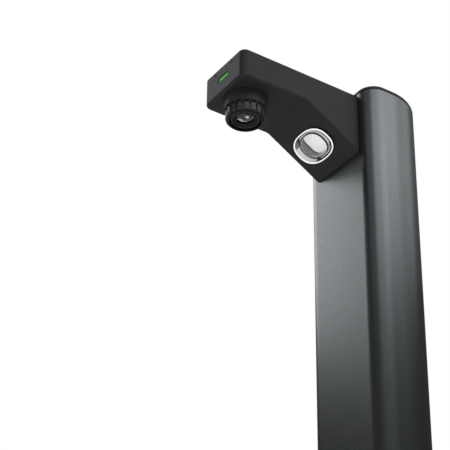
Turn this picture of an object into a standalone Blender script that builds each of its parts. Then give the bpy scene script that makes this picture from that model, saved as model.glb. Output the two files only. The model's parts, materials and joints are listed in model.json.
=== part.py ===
"""Document camera: a D-section aluminium column on a weighted base, with a cantilevered camera arm.

Frame: metres, +Z up, origin on the desk under the centre of the plan outline. The arm points along -Y.
Every sub-part is one object. Pieces that touch in the real object keep GAP between them.
"""

import math

import bmesh
import bpy
from mathutils import Matrix

MM = 0.001
GAP = 0.3 * MM

# Camera arm
ARM_WIDTH = 50 * MM
ARM_REACH = 100.8 * MM
ARM_DEPTH = 23.1 * MM
GUSSET_REACH = 45.6 * MM
GUSSET_DROP = 26.5 * MM
ARM_CORNER_R = 5 * MM
ARM_EDGE_R = 2.2 * MM
ARM_WALL = 2.2 * MM
LID_THICKNESS = 2 * MM
LID_RIM = 1.2 * MM

# Column
COLUMN_HALF_WIDTH = 39.6 * MM
COLUMN_FRONT_R = 12.9 * MM
COLUMN_STRAIGHT = 21.5 * MM
COLUMN_WALL = 2.6 * MM
CAP_THICKNESS = 2.8 * MM
TOTAL_HEIGHT = 430 * MM
ARM_BELOW_COLUMN_TOP = 1.7 * MM

# Base. It lies mostly behind the column's front face, so that the page can lie close to it.
BASE_WIDTH = 180 * MM
BASE_FRONT = 14 * MM
BASE_REAR = 100 * MM
BASE_TOP = 26 * MM
BASE_CORNER_R = 22 * MM
BASE_EDGE_R = 5 * MM
BASE_WALL = 2.5 * MM
PAD_THICKNESS = 2 * MM
PAD_INSET = 4 * MM
PLATE_THICKNESS = 4 * MM
BOSS_R = 4 * MM
TRIM_WIDTH = 2 * MM
FOOT_BLOCK_HEIGHT = 26 * MM
COLUMN_BOLT_X = 22 * MM
COLUMN_BOLT_HEAD_R = 4 * MM
BASE_SCREW_HEAD_R = 3.2 * MM

# Sockets in the base's rear wall: name, then centre x, half width, half height
PORT_Z = 13.5 * MM
PORTS = {
    "usb_c_socket": (-18 * MM, 4.5 * MM, 1.6 * MM),
    "usb_a_socket": (18 * MM, 6.7 * MM, 3 * MM),
}

# Arm fixing and cable way
CABLE_HOLE_R = 5 * MM
CABLE_HOLE_DROP = 16 * MM
CABLE_R = 2 * MM
ARM_BOLT_X = 17 * MM
ARM_BOLT_DROP = 16 * MM
BRACKET_THICKNESS = 3 * MM

# Front end of the arm, distances down from its top face
WINDOW_HALF_X = 6.5 * MM
WINDOW_HALF_Z = 2.4 * MM
WINDOW_DROP = 10.5 * MM
MIC_X = 10.2 * MM
MIC_DROP = 3.8 * MM
MIC_HOLE_R = 0.75 * MM

# Lens
LENS_REACH = 81.6 * MM
COLLAR_R = 15.5 * MM
COLLAR_BORE_R = 14 * MM
GRIP_R = 14.2 * MM
CELL_R = 12.3 * MM
GRIP_PADS = 18
GRIP_GROOVE = 0.7 * MM
TONGUE_HALF_ANGLE = math.radians(30)

# Lamp, a well in the sloping underside of the gusset with a lit panel as its floor
LAMP_HALF_X = 16.9 * MM
LAMP_HALF_Y = 12.7 * MM
LAMP_HEIGHT = 2.8 * MM
LAMP_TROUGH = 1.3 * MM
LAMP_LIP = 2.1 * MM
LAMP_OPENING_X = 10.9 * MM
LAMP_OPENING_Y = 9.3 * MM
LAMP_FLOOR_X = 11.8 * MM
LAMP_FLOOR_Y = 9.8 * MM
LAMP_DEPTH = 8.6 * MM
LAMP_SQUARENESS = 2.4
LAMP_FLOOR_SQUARENESS = 4
LAMP_WELL_WALL = 1.1 * MM
LAMP_DOWN_SLOPE = 28.2 * MM

# Keys on the base, two on either side of the column
KEY_R = 6 * MM
KEY_INNER_X = 55 * MM
KEY_OUTER_X = 75 * MM
KEY_BACK = 13 * MM
KEY_PROUD = 1.2 * MM
KEY_TRAVEL_ROOM = 1 * MM

SHARP_ANGLE = math.radians(35)

# Places worked out from the sizes
FACE_Y = (ARM_REACH - BASE_REAR) / 2
COLUMN_TOP = TOTAL_HEIGHT - CAP_THICKNESS
ARM_TOP = COLUMN_TOP - ARM_BELOW_COLUMN_TOP
ARM_FLOOR = ARM_TOP - ARM_DEPTH
SLOPE = math.atan2(GUSSET_DROP, GUSSET_REACH)
LENS_Y = FACE_Y - LENS_REACH
CABLE_HOLE_Z = ARM_TOP - CABLE_HOLE_DROP
WINDOW_Z = ARM_TOP - WINDOW_DROP
MIC_Z = ARM_TOP - MIC_DROP
PLATE_BOTTOM = PAD_THICKNESS + GAP
PLATE_TOP = PLATE_BOTTOM + PLATE_THICKNESS
COLUMN_BOTTOM = PLATE_TOP + GAP
KEY_Y = FACE_Y + KEY_BACK

# name: (colour, roughness, metallic, alpha)
FINISHES = {
    "head_black": ((0.030, 0.030, 0.032), 0.50, 0.0, 1.0),
    "lens_black": ((0.012, 0.012, 0.013), 0.35, 0.0, 1.0),
    "anodised_grey": ((0.27, 0.285, 0.29), 0.40, 1.0, 1.0),
    "chrome": ((0.85, 0.85, 0.86), 0.08, 1.0, 1.0),
    "steel": ((0.45, 0.45, 0.46), 0.35, 1.0, 1.0),
    "cast_iron": ((0.09, 0.09, 0.10), 0.65, 0.8, 1.0),
    "glass": ((0.80, 0.85, 0.90), 0.03, 0.0, 0.35),
    "circuit_green": ((0.02, 0.16, 0.06), 0.45, 0.0, 1.0),
    "sensor_glass": ((0.05, 0.12, 0.10), 0.10, 0.3, 1.0),
    "lamp_white": ((0.92, 0.92, 0.90), 0.40, 0.0, 1.0),
    "light_green": ((0.10, 0.60, 0.12), 0.25, 0.0, 1.0),
    "rubber": ((0.020, 0.020, 0.020), 0.85, 0.0, 1.0),
    "cable_black": ((0.025, 0.025, 0.025), 0.60, 0.0, 1.0),
}


def clear_scene():
    for old in list(bpy.data.objects):
        bpy.data.objects.remove(old)


def finish(name):
    """The material of that name, made on first use."""
    found = bpy.data.materials.get(name)
    if found:
        return found
    colour, roughness, metallic, alpha = FINISHES[name]
    made = bpy.data.materials.new(name)
    made.use_nodes = True
    shader = made.node_tree.nodes["Principled BSDF"]
    shader.inputs["Base Color"].default_value = (*colour, 1)
    shader.inputs["Roughness"].default_value = roughness
    shader.inputs["Metallic"].default_value = metallic
    shader.inputs["Alpha"].default_value = alpha
    return made


# ---------------------------------------------------------------- outlines, as lists of (x, y)


def arc(centre, radius, start, end, steps):
    """Points from angle start to angle end, in degrees."""
    points = []
    for i in range(steps + 1):
        angle = math.radians(start + (end - start) * i / steps)
        points.append((centre[0] + radius * math.cos(angle), centre[1] + radius * math.sin(angle)))
    return points


def circle(radius, steps):
    return arc((0, 0), radius, 0, 360, steps)[:-1]


def rounded_box(x0, x1, y0, y1, radius, steps=5):
    points = arc((x1 - radius, y0 + radius), radius, -90, 0, steps)
    points += arc((x1 - radius, y1 - radius), radius, 0, 90, steps)
    points += arc((x0 + radius, y1 - radius), radius, 90, 180, steps)
    points += arc((x0 + radius, y0 + radius), radius, 180, 270, steps)
    return points


def column_outline(inset=0.0):
    """The column's D: flat front at FACE_Y, rounded front corners, half-round back."""
    side = COLUMN_HALF_WIDTH - COLUMN_FRONT_R
    corner_y = FACE_Y + COLUMN_FRONT_R
    corner_r = COLUMN_FRONT_R - inset
    points = arc((side, corner_y), corner_r, -90, 0, 5)
    points += arc((0, FACE_Y + COLUMN_STRAIGHT), COLUMN_HALF_WIDTH - inset, 0, 180, 24)
    points += arc((-side, corner_y), corner_r, 180, 270, 5)
    return points


def oval(half_x, half_y, squareness=LAMP_SQUARENESS, steps=40):
    """An oval centred on the origin. At squareness 2 it is an ellipse, and it grows squarer from there."""
    points = []
    for i in range(steps):
        angle = 2 * math.pi * i / steps
        c, s = math.cos(angle), math.sin(angle)
        reach = (abs(c) ** squareness + abs(s) ** squareness) ** (-1 / squareness)
        points.append((half_x * c * reach, half_y * s * reach))
    return points


def lamp_oval(inset=0.0):
    return oval(LAMP_HALF_X - inset, LAMP_HALF_Y - inset)


def lamp_opening(grow=0.0):
    return oval(LAMP_OPENING_X + grow, LAMP_OPENING_Y + grow)


def lamp_floor(grow=0.0):
    return oval(LAMP_FLOOR_X + grow, LAMP_FLOOR_Y + grow, LAMP_FLOOR_SQUARENESS)


# ---------------------------------------------------------------- meshes


def loft(loops, ring=False):
    """A mesh through loops of equal length: [(outline, z), ...]. A ring joins the last loop to the first."""
    bm = bmesh.new()
    rows = [[bm.verts.new((x, y, z)) for x, y in outline] for outline, z in loops]
    pairs = list(zip(rows, rows[1:]))
    if ring:
        pairs.append((rows[-1], rows[0]))
    else:
        bm.faces.new(rows[0])
        bm.faces.new(rows[-1])
    for low, high in pairs:
        for i in range(len(low)):
            j = (i + 1) % len(low)
            bm.faces.new((low[i], low[j], high[j], high[i]))
    bmesh.ops.recalc_face_normals(bm, faces=bm.faces)
    return bm


def prism(outline, z0, z1):
    return loft([(outline, z0), (outline, z1)])


def tube(outer, inner, z0, z1):
    return loft([(outer, z0), (outer, z1), (inner, z1), (inner, z0)], ring=True)


def turned(profile, steps=24):
    """A closed profile of (radius, z) turned about Z. Points on the axis are welded."""
    bm = bmesh.new()
    verts = [bm.verts.new((radius, 0, z)) for radius, z in profile]
    edges = [bm.edges.new((verts[i], verts[i - 1])) for i in range(len(verts))]
    bmesh.ops.spin(
        bm,
        geom=verts + edges,
        cent=(0, 0, 0),
        axis=(0, 0, 1),
        angle=2 * math.pi,
        steps=steps,
        use_merge=True,
    )
    bmesh.ops.remove_doubles(bm, verts=bm.verts, dist=1e-6)
    loose = [e for e in bm.edges if not e.link_faces]
    bmesh.ops.delete(bm, geom=loose, context="EDGES")
    bmesh.ops.recalc_face_normals(bm, faces=bm.faces)
    return bm


def box(x0, x1, y0, y1, z0, z1):
    return prism([(x0, y0), (x1, y0), (x1, y1), (x0, y1)], z0, z1)


def rod(radius, z0, z1, steps=20):
    return prism(circle(radius, steps), z0, z1)


def turn(bm, matrix):
    bmesh.ops.transform(bm, matrix=matrix, verts=bm.verts)
    return bm


# ---------------------------------------------------------------- objects


def add(name, bm, material, parent=None, location=(0, 0, 0), rotation=(0, 0, 0)):
    """One named object from a mesh, shaded smooth except at sharp edges."""
    mesh = bpy.data.meshes.new(name)
    bm.to_mesh(mesh)
    bm.free()
    mesh.materials.append(finish(material))
    mesh.shade_smooth()
    mesh.set_sharp_from_angle(angle=SHARP_ANGLE)
    made = bpy.data.objects.new(name, mesh)
    made.location = location
    made.rotation_euler = rotation
    made.parent = parent
    bpy.context.scene.collection.objects.link(made)
    return made


def empty(name, location, rotation=(0, 0, 0)):
    made = bpy.data.objects.new(name, None)
    made.location = location
    made.rotation_euler = rotation
    bpy.context.scene.collection.objects.link(made)
    return made


def combine(target, operation, bm, location=(0, 0, 0), rotation=(0, 0, 0)):
    """Cuts bm from target, or joins it on, with an exact Boolean. The helper isn't rendered."""
    helper = add(f"{target.name}_{operation.lower()}", bm, "steel", target.parent, location, rotation)
    helper.hide_render = True
    helper.display_type = "WIRE"
    boolean = target.modifiers.new(helper.name, "BOOLEAN")
    boolean.operation = operation
    boolean.solver = "EXACT"
    boolean.object = helper


def cut(target, bm, location=(0, 0, 0), rotation=(0, 0, 0)):
    combine(target, "DIFFERENCE", bm, location, rotation)


def join(target, bm, location=(0, 0, 0), rotation=(0, 0, 0)):
    combine(target, "UNION", bm, location, rotation)


ALONG_Y = (-math.pi / 2, 0, 0)  # turns a shape made along +Z to run along +Y


# ---------------------------------------------------------------- camera arm


def arm_block(inset, top, corner_r, edge_r):
    """The arm's solid, its side profile run across the width, walls moved inwards by inset."""
    tip = FACE_Y - ARM_REACH + inset
    back = FACE_Y - GAP - inset
    floor = ARM_FLOOR + inset
    slope_rise = inset / math.cos(SLOPE)
    crease = FACE_Y - GUSSET_REACH + (slope_rise - inset) / math.tan(SLOPE)
    heel = floor - (back - crease) * math.tan(SLOPE)
    half = ARM_WIDTH / 2 - inset
    profile = [(back, top), (tip, top), (tip, floor), (crease, floor), (back, heel)]
    bm = bmesh.new()
    face = bm.faces.new([bm.verts.new((-half, y, z)) for y, z in profile])
    grown = bmesh.ops.extrude_face_region(bm, geom=[face])
    moved = [v for v in grown["geom"] if isinstance(v, bmesh.types.BMVert)]
    bmesh.ops.translate(bm, verts=moved, vec=(2 * half, 0, 0))
    bmesh.ops.recalc_face_normals(bm, faces=bm.faces)
    at_tip = [e for e in bm.edges if all(abs(v.co.y - tip) < 1e-6 for v in e.verts)]
    uprights = [e for e in at_tip if abs(e.verts[0].co.z - e.verts[1].co.z) > 1e-4]
    bmesh.ops.bevel(bm, geom=uprights, offset=corner_r, segments=5, profile=0.5, affect="EDGES")
    if edge_r:
        rim = [e for e in bm.edges if is_lower_rim(e)]
        bmesh.ops.bevel(bm, geom=rim, offset=edge_r, segments=3, profile=0.5, affect="EDGES")
    return bm


def is_lower_rim(edge):
    """True where an underside meets an outer wall, apart from the rear wall."""
    normals = [f.normal for f in edge.link_faces]
    under = any(n.z < -0.5 for n in normals)
    wall = any(abs(n.z) < 0.1 and n.y < 0.9 for n in normals)
    return under and wall


def build_arm():
    housing = add("head_housing", arm_block(0, ARM_TOP, ARM_CORNER_R, ARM_EDGE_R), "head_black")
    above = ARM_TOP + 5 * MM
    cut(housing, arm_block(ARM_WALL, above, ARM_CORNER_R - ARM_WALL, 0))
    lid_seat = ARM_TOP - LID_THICKNESS - GAP
    cut(housing, lid_pocket(LID_RIM, lid_seat, above))
    cut(housing, rod(COLLAR_R + GAP, ARM_FLOOR - 5 * MM, ARM_FLOOR + 5 * MM, 36), (0, LENS_Y, 0))
    cut_lamp_hole(housing)
    cut_end_face(housing)
    rear = FACE_Y - 6 * MM
    for x, z in arm_bolt_places():
        cut(housing, rod(2.6 * MM, 0, 12 * MM, 12), (x, rear, z), ALONG_Y)
    cut(housing, rod(CABLE_HOLE_R, 0, 12 * MM, 16), (0, rear, CABLE_HOLE_Z), ALONG_Y)
    for x, y in lid_screw_places():
        join(housing, rod(3.2 * MM, ARM_FLOOR + 1 * MM, lid_seat - GAP, 14), (x, y, 0))
        cut(housing, rod(1.3 * MM, ARM_FLOOR + 6 * MM, ARM_TOP, 10), (x, y, 0))
    build_lid(lid_seat)


def lid_pocket(inset, z0, z1):
    half = ARM_WIDTH / 2 - inset
    tip = FACE_Y - ARM_REACH + inset
    radius = ARM_CORNER_R - inset
    outline = arc((-half + radius, tip + radius), radius, 180, 270, 5)
    outline += arc((half - radius, tip + radius), radius, 270, 360, 5)
    back = FACE_Y - GAP - inset
    outline += [(half, back), (-half, back)]
    return prism(outline, z0, z1)


def lid_screw_places():
    """One on either side, between the lens and the gusset."""
    x = ARM_WIDTH / 2 - ARM_WALL - 2.6 * MM
    return [(-x, FACE_Y - 47 * MM), (x, FACE_Y - 47 * MM)]


def build_lid(seat):
    lid = add("head_top_cover", lid_pocket(LID_RIM + GAP, seat + GAP, ARM_TOP), "head_black")
    screw_head = [(0, 1.3), (2.3, 1.3), (2.3, 1.0), (1.0, -0.2), (1.0, -6.5), (0, -6.5)]
    profile = [(r * MM, z * MM) for r, z in screw_head]
    for side, (x, y) in zip(("left", "right"), lid_screw_places()):
        head_z = ARM_TOP - 1.5 * MM
        cut(lid, rod(2.6 * MM, -0.6 * MM, 5 * MM, 16), (x, y, head_z))
        cut(lid, rod(1.3 * MM, -5 * MM, 2 * MM, 10), (x, y, head_z))
        place = (x, y, head_z + 0.1 * MM)
        add(f"lid_screw_{side}", turned(profile, 16), "steel", location=place)


def cut_end_face(housing):
    """The status window, and one sound hole over each microphone, through the arm's front wall."""
    tip = FACE_Y - ARM_REACH
    window = status_window(WINDOW_HALF_X + GAP, WINDOW_HALF_Z + GAP)
    cut(housing, prism(window, -4 * MM, 4 * MM), (0, tip, WINDOW_Z), ALONG_Y)
    for x in (-MIC_X, MIC_X):
        cut(housing, rod(MIC_HOLE_R, -4 * MM, 4 * MM, 12), (x, tip, MIC_Z), ALONG_Y)


def status_window(half_x, half_z):
    """A stadium, drawn flat."""
    straight = half_x - half_z
    points = arc((straight, 0), half_z, -90, 90, 8)
    return points + arc((-straight, 0), half_z, 90, 270, 8)


def build_end_face_parts():
    tip = FACE_Y - ARM_REACH
    guide = prism(status_window(WINDOW_HALF_X, WINDOW_HALF_Z), 0.2 * MM, 3.4 * MM)
    add("status_light_guide", guide, "light_green", location=(0, tip, WINDOW_Z), rotation=ALONG_Y)
    board_y = tip + 3.8 * MM
    board = box(-9 * MM, 9 * MM, board_y, board_y + 1 * MM, WINDOW_Z - 4 * MM, WINDOW_Z + 4 * MM)
    add("status_led_board", board, "circuit_green")
    for side, x in (("left", -MIC_X), ("right", MIC_X)):
        place = (x, tip + ARM_WALL + GAP, MIC_Z)
        add(f"microphone_{side}", rod(1.4 * MM, 0, 1.5 * MM, 16), "steel", None, place, ALONG_Y)


# ---------------------------------------------------------------- lamp


def lamp_place():
    """Location and rotation of the lamp's frame: +Z out of the slope, +Y up the slope."""
    y = FACE_Y - GUSSET_REACH + LAMP_DOWN_SLOPE * math.cos(SLOPE)
    z = ARM_FLOOR - LAMP_DOWN_SLOPE * math.sin(SLOPE)
    return (0, y, z), (math.pi - SLOPE, 0, 0)


def cut_lamp_hole(housing):
    location, rotation = lamp_place()
    cut(housing, prism(lamp_oval(1.2 * MM), -6 * MM, 6 * MM), location, rotation)


def build_lamp():
    """Bezel, well, cover, emitter and board, stacked inwards from the slope."""
    lamp = empty("lamp_frame", *lamp_place())
    sleeve, sleeve_end = lamp_oval(1.5 * MM), -1.9 * MM
    bezel = [
        (lamp_oval(), GAP),
        (lamp_oval(), LAMP_HEIGHT - 0.5 * MM),
        (lamp_oval(0.5 * MM), LAMP_HEIGHT),
        (lamp_oval(1.0 * MM), LAMP_HEIGHT - 0.2 * MM),
        (lamp_oval(1.3 * MM), LAMP_TROUGH),
        (lamp_opening(0.6 * MM), LAMP_TROUGH),
        (lamp_opening(0.6 * MM), LAMP_LIP),
        (lamp_opening(), LAMP_LIP),
        (lamp_opening(), sleeve_end),
        (sleeve, sleeve_end),
        (sleeve, GAP),
    ]
    add("lamp_bezel", loft(bezel, ring=True), "chrome", lamp)
    mouth = sleeve_end - GAP
    well = [
        (lamp_opening(), mouth),
        (lamp_floor(), -LAMP_DEPTH),
        (lamp_floor(LAMP_WELL_WALL), -LAMP_DEPTH),
        (lamp_opening(LAMP_WELL_WALL), mouth),
    ]
    add("lamp_reflector", loft(well, ring=True), "chrome", lamp)
    cover_base = -LAMP_DEPTH + 0.2 * MM
    cover = prism(lamp_floor(-0.6 * MM), cover_base, cover_base + 0.8 * MM)
    add("lamp_lens", cover, "glass", lamp)
    emitter_top = -LAMP_DEPTH - GAP
    board_top = emitter_top - 0.8 * MM - GAP
    emitter = prism(lamp_floor(0.8 * MM), board_top + GAP, emitter_top)
    add("lamp_emitter", emitter, "lamp_white", lamp)
    board = rounded_box(-14 * MM, 14 * MM, -9 * MM, 9 * MM, 2 * MM, 3)
    add("lamp_led_board", prism(board, board_top - 1.2 * MM, board_top), "lamp_white", lamp)


# ---------------------------------------------------------------- lens and sensor


def at_arm(z_mm):
    """Height of a point z_mm millimetres above the arm's top face."""
    return ARM_TOP + z_mm * MM


def lens_profile(points):
    return [(r * MM, at_arm(z)) for r, z in points]


def ring(name, outer, inner, z0, z1, material, parent):
    profile = lens_profile([(outer, z1), (outer, z0), (inner, z0), (inner, z1)])
    return add(name, turned(profile), material, parent)


def glass_disc(name, radius, z0, z1, bulge_low, bulge_high, parent):
    """One lens element with an edge from z0 to z1; each bulge is that face's rise at the middle."""
    share = (0.0, 0.6)
    high = [(radius * s, z1 + bulge_high * (1 - s * s)) for s in share]
    low = [(radius * s, z0 - bulge_low * (1 - s * s)) for s in reversed(share)]
    profile = lens_profile(high + [(radius, z1), (radius, z0)] + low)
    add(name, turned(profile, 22), "glass", parent)


def build_collar():
    """The fixed collar under the arm. Its tongue keys it to the sensor frame."""
    top, bottom = at_arm(-21.3), at_arm(-32.7)
    edge = 0.4 * MM
    profile = [(COLLAR_BORE_R, top), (COLLAR_R, top), (COLLAR_R, bottom + edge)]
    profile += [(COLLAR_R - edge, bottom), (COLLAR_BORE_R, bottom)]
    collar = add("lens_collar", turned(profile, 36), "head_black", location=(0, LENS_Y, 0))
    join(collar, sector(COLLAR_R, COLLAR_BORE_R, at_arm(-22.3), at_arm(-17.8)), (0, LENS_Y, 0))


def sector(outer, inner, z0, z1, half_angle=TONGUE_HALF_ANGLE):
    """A piece of a ring, centred on +X."""
    degrees = math.degrees(half_angle)
    outline = arc((0, 0), outer, -degrees, degrees, 8) + arc((0, 0), inner, degrees, -degrees, 8)
    return prism(outline, z0, z1)


def build_focus_ring():
    """The knurled grip, with a sleeve that runs up inside the collar."""
    pivot = empty("focus_axis", (0, LENS_Y, 0))
    sleeve_r, bore_r, lip_r = 13.7, 12.6, 11.3
    grip = GRIP_R / MM
    # radius, height, share of the groove's depth taken off between two pads
    profile = [
        (bore_r, -21.6, 0),
        (sleeve_r, -21.6, 0),
        (sleeve_r, -33.7, 0),
        (grip - 0.4, -33.7, 0),
        (grip, -34.1, 1),
        (grip, -39.4, 1),
        (grip - 0.5, -40.7, 0.6),
        (grip - 1.8, -41.6, 0),
        (lip_r + 0.3, -41.6, 0),
        (lip_r, -41.2, 0),
        (lip_r, -39.6, 0),
        (bore_r, -39.6, 0),
    ]
    loops = [(grip_outline(r * MM, share), at_arm(z)) for r, z, share in profile]
    add("focus_ring", loft(loops, ring=True), "lens_black", pivot)


def grip_outline(radius, share):
    """A circle with GRIP_PADS shallow grooves; share 0 leaves it round."""
    points = []
    pitch = 2 * math.pi / GRIP_PADS
    for i in range(GRIP_PADS):
        for turn_share, depth in ((-0.07, 1), (0.07, 1), (0.15, 0), (0.85, 0)):
            angle = (i + turn_share) * pitch
            r = radius - GRIP_GROOVE * share * depth
            points.append((r * math.cos(angle), r * math.sin(angle)))
    return points


def build_lens_cell():
    """The cell that slides to focus, and the optics stacked in it from front to rear."""
    cell = empty("lens_cell_axis", (0, LENS_Y, 0))
    outer = CELL_R / MM
    front_r, bore_r, seat_r, window_r = 10.2, 9.7, 10.8, 6.7
    profile = [
        (seat_r, -13.8),
        (outer, -13.8),
        (outer, -38.2),
        (front_r, -38.2),
        (front_r, -40.4),
        (9.4, -40.4),
        (window_r, -39.0),
        (window_r, -36.4),
        (bore_r, -36.4),
        (bore_r, -18.7),
        (seat_r, -18.7),
    ]
    add("lens_cell", turned(lens_profile(profile), 28), "lens_black", cell)
    glass_disc("front_lens", 6.4, -37.9, -36.9, 1.3, 0.2, cell)
    aperture = [(5.0, -34.7), (5.0, -35.0), (6.3, -36.1), (9.3, -36.1), (9.3, -34.7)]
    add("aperture_ring", turned(lens_profile(aperture)), "lens_black", cell)
    glass_disc("lens_element_2", 8.9, -33.6, -32.4, 0.8, 0.8, cell)
    ring("air_space_ring", 9.3, 7.8, -31.3, -28.2, "lens_black", cell)
    glass_disc("lens_element_3", 8.8, -27.2, -26.0, 0.7, 0.8, cell)
    glass_disc("lens_element_4", 9.3, -24.5, -23.1, 0.4, 0.7, cell)
    ring("thin_spacer", 9.4, 8.2, -22.1, -21.6, "lens_black", cell)
    glass_disc("rear_lens", 9.4, -20.8, -19.6, 0.5, 0.8, cell)
    ring("rear_spacer", 10.4, 7.6, -18.3, -17.1, "lens_black", cell)
    lock = ring("lens_lock_ring", 10.5, 8.0, -16.8, -14.1, "steel", cell)
    for i in range(2):
        slot = box(-12 * MM, 12 * MM, -1 * MM, 1 * MM, at_arm(-15.2), at_arm(-13))
        cut(lock, turn(slot, Matrix.Rotation(math.pi / 2 * i, 4, "Z")))


def build_sensor():
    block = box(-19 * MM, 19 * MM, -13.8 * MM, 16 * MM, at_arm(-20.6), at_arm(-9.9))
    frame = add("sensor_frame", block, "head_black", location=(0, LENS_Y, 0))
    cut(frame, rod(CELL_R + 0.6 * MM, at_arm(-25), at_arm(0), 28), (0, LENS_Y, 0))
    key_angle = TONGUE_HALF_ANGLE + math.radians(2)
    key = sector(COLLAR_R + GAP, 8 * MM, at_arm(-25), at_arm(-17.4), key_angle)
    cut(frame, key, (0, LENS_Y, 0))
    board = box(-13 * MM, 13 * MM, -13 * MM, 13 * MM, at_arm(-9.5), at_arm(-8.4))
    add("sensor_board", board, "circuit_green", location=(0, LENS_Y, 0))
    die = box(-7.5 * MM, 7.5 * MM, -6 * MM, 6 * MM, at_arm(-11.1), at_arm(-9.8))
    add("image_sensor", die, "sensor_glass", location=(0, LENS_Y, 0))
    board_y = FACE_Y - 54 * MM
    board = box(-20 * MM, 20 * MM, board_y - 40 * MM, board_y, at_arm(-6.2), at_arm(-5.0))
    add("camera_board", board, "circuit_green")


# ---------------------------------------------------------------- column


def arm_bolt_places():
    return [(x, ARM_TOP - ARM_BOLT_DROP) for x in (-ARM_BOLT_X, ARM_BOLT_X)]


def build_arm_fixing():
    """Bracket in the arm, backing plate in the column, and the bolts that clamp both walls."""
    rear = FACE_Y - GAP - ARM_WALL - GAP
    front = rear - BRACKET_THICKNESS
    half = ARM_WIDTH / 2 - ARM_WALL - GAP
    bracket = add("arm_bracket", box(-half, half, front, rear, at_arm(-31.5), at_arm(-4.5)), "steel")
    shelf = box(-half, half, front - 26 * MM, front + 1 * MM, at_arm(-4.5) - 2 * MM, at_arm(-4.5))
    join(bracket, shelf)
    plate_y = FACE_Y + COLUMN_WALL + GAP
    plate_box = (-24 * MM, 24 * MM, plate_y, plate_y + 4 * MM, at_arm(-33), at_arm(-3))
    plate = add("backing_plate", box(*plate_box), "steel")
    for target, y in ((bracket, front - 2 * MM), (plate, plate_y - 2 * MM)):
        cut(target, rod(CABLE_HOLE_R, 0, 10 * MM, 16), (0, y, CABLE_HOLE_Z), ALONG_Y)
        for x, z in arm_bolt_places():
            cut(target, rod(2.3 * MM, 0, 10 * MM, 12), (x, y, z), ALONG_Y)
    reach = plate_y + 6 * MM - front
    shape = [(0, -3), (3.5, -3), (3.5, -0.3), (2, -0.3), (2, reach / MM), (0, reach / MM)]
    profile = [(r * MM, z * MM) for r, z in reversed(shape)]
    for side, (x, z) in zip(("left", "right"), arm_bolt_places()):
        add(f"arm_bolt_{side}", turned(profile, 12), "steel", None, (x, front, z), ALONG_Y)


def build_column():
    shell = tube(column_outline(), column_outline(COLUMN_WALL), COLUMN_BOTTOM, COLUMN_TOP)
    column = add("column_tube", shell, "anodised_grey")
    for x, z in arm_bolt_places():
        cut(column, rod(2.6 * MM, -3 * MM, 8 * MM, 12), (x, FACE_Y, z), ALONG_Y)
    cut(column, rod(CABLE_HOLE_R, -3 * MM, 8 * MM, 16), (0, FACE_Y, CABLE_HOLE_Z), ALONG_Y)
    plug = column_outline(COLUMN_WALL + GAP)
    hollow = column_outline(COLUMN_WALL + 2.3 * MM)
    soft = column_outline(0.5 * MM)
    low, high = COLUMN_TOP + GAP, TOTAL_HEIGHT
    cap = loft([(column_outline(), low), (column_outline(), high - 0.5 * MM), (soft, high)])
    cap = add("column_cap", cap, "head_black")
    skirt = tube(plug, hollow, COLUMN_TOP - 3 * MM + GAP, low + 1 * MM)
    join(cap, skirt)


def build_column_foot():
    """The block in the column's lower end, bolted through the base plate."""
    block_outline = column_outline(COLUMN_WALL + GAP)
    block = prism(block_outline, COLUMN_BOTTOM, COLUMN_BOTTOM + FOOT_BLOCK_HEIGHT)
    block = add("column_foot", block, "steel")
    centre_y = FACE_Y + COLUMN_STRAIGHT
    cut(block, rod(9 * MM, 0, 60 * MM, 20), (0, centre_y, 0))
    for side, x in (("left", -COLUMN_BOLT_X), ("right", COLUMN_BOLT_X)):
        cut(block, rod(2.3 * MM, 0, COLUMN_BOTTOM + 20 * MM, 12), (x, centre_y, 0))
        bolt = plate_bolt(COLUMN_BOLT_HEAD_R, 2 * MM, 2 * MM, COLUMN_BOTTOM + 18 * MM)
        add(f"column_bolt_{side}", bolt, "steel", location=(x, centre_y, 0))


def plate_bolt(head_r, head_height, shank_r, top):
    """A bolt that points up, its head sunk in the underside of the base plate."""
    low = PLATE_BOTTOM + GAP
    high = low + head_height
    profile = [(0, low), (head_r, low), (head_r, high), (shank_r, high), (shank_r, top), (0, top)]
    return turned(profile, 14)


def sink_bolt_hole(plate, x, y, head_r, head_height, shank_r):
    cut(plate, rod(head_r + GAP, 0, PLATE_BOTTOM + head_height + 2 * GAP, 14), (x, y, 0))
    cut(plate, rod(shank_r + GAP, 0, PLATE_TOP + 2 * MM, 12), (x, y, 0))


def build_harness():
    """The cable from the camera board, through the column, to the base board."""
    centre_y = FACE_Y + COLUMN_STRAIGHT
    route = [
        (0, FACE_Y - 40 * MM, at_arm(-16)),
        (0, FACE_Y - 14 * MM, CABLE_HOLE_Z),
        (0, FACE_Y + 9 * MM, CABLE_HOLE_Z),
        (0, centre_y, CABLE_HOLE_Z - 16 * MM),
        (0, centre_y, 220 * MM),
        (0, centre_y, COLUMN_BOTTOM + 30 * MM),
        (0, centre_y, COLUMN_BOTTOM + 2.8 * MM),
    ]
    curve = bpy.data.curves.new("wiring_harness", "CURVE")
    curve.dimensions = "3D"
    curve.bevel_depth = CABLE_R
    curve.bevel_resolution = 1
    curve.resolution_u = 3
    curve.use_fill_caps = True
    spline = curve.splines.new("BEZIER")
    spline.bezier_points.add(len(route) - 1)
    for point, place in zip(spline.bezier_points, route):
        point.co = place
        point.handle_left_type = "AUTO"
        point.handle_right_type = "AUTO"
    curve.materials.append(finish("cable_black"))
    harness = bpy.data.objects.new("wiring_harness", curve)
    bpy.context.scene.collection.objects.link(harness)


# ---------------------------------------------------------------- base


def base_outline(inset=0.0):
    half = BASE_WIDTH / 2 - inset
    front, rear = FACE_Y - BASE_FRONT + inset, FACE_Y + BASE_REAR - inset
    return rounded_box(-half, half, front, rear, BASE_CORNER_R - inset, 6)


def key_places():
    names = ("power", "lamp", "focus", "capture")
    return zip(names, (-KEY_OUTER_X, -KEY_INNER_X, KEY_INNER_X, KEY_OUTER_X))


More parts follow.
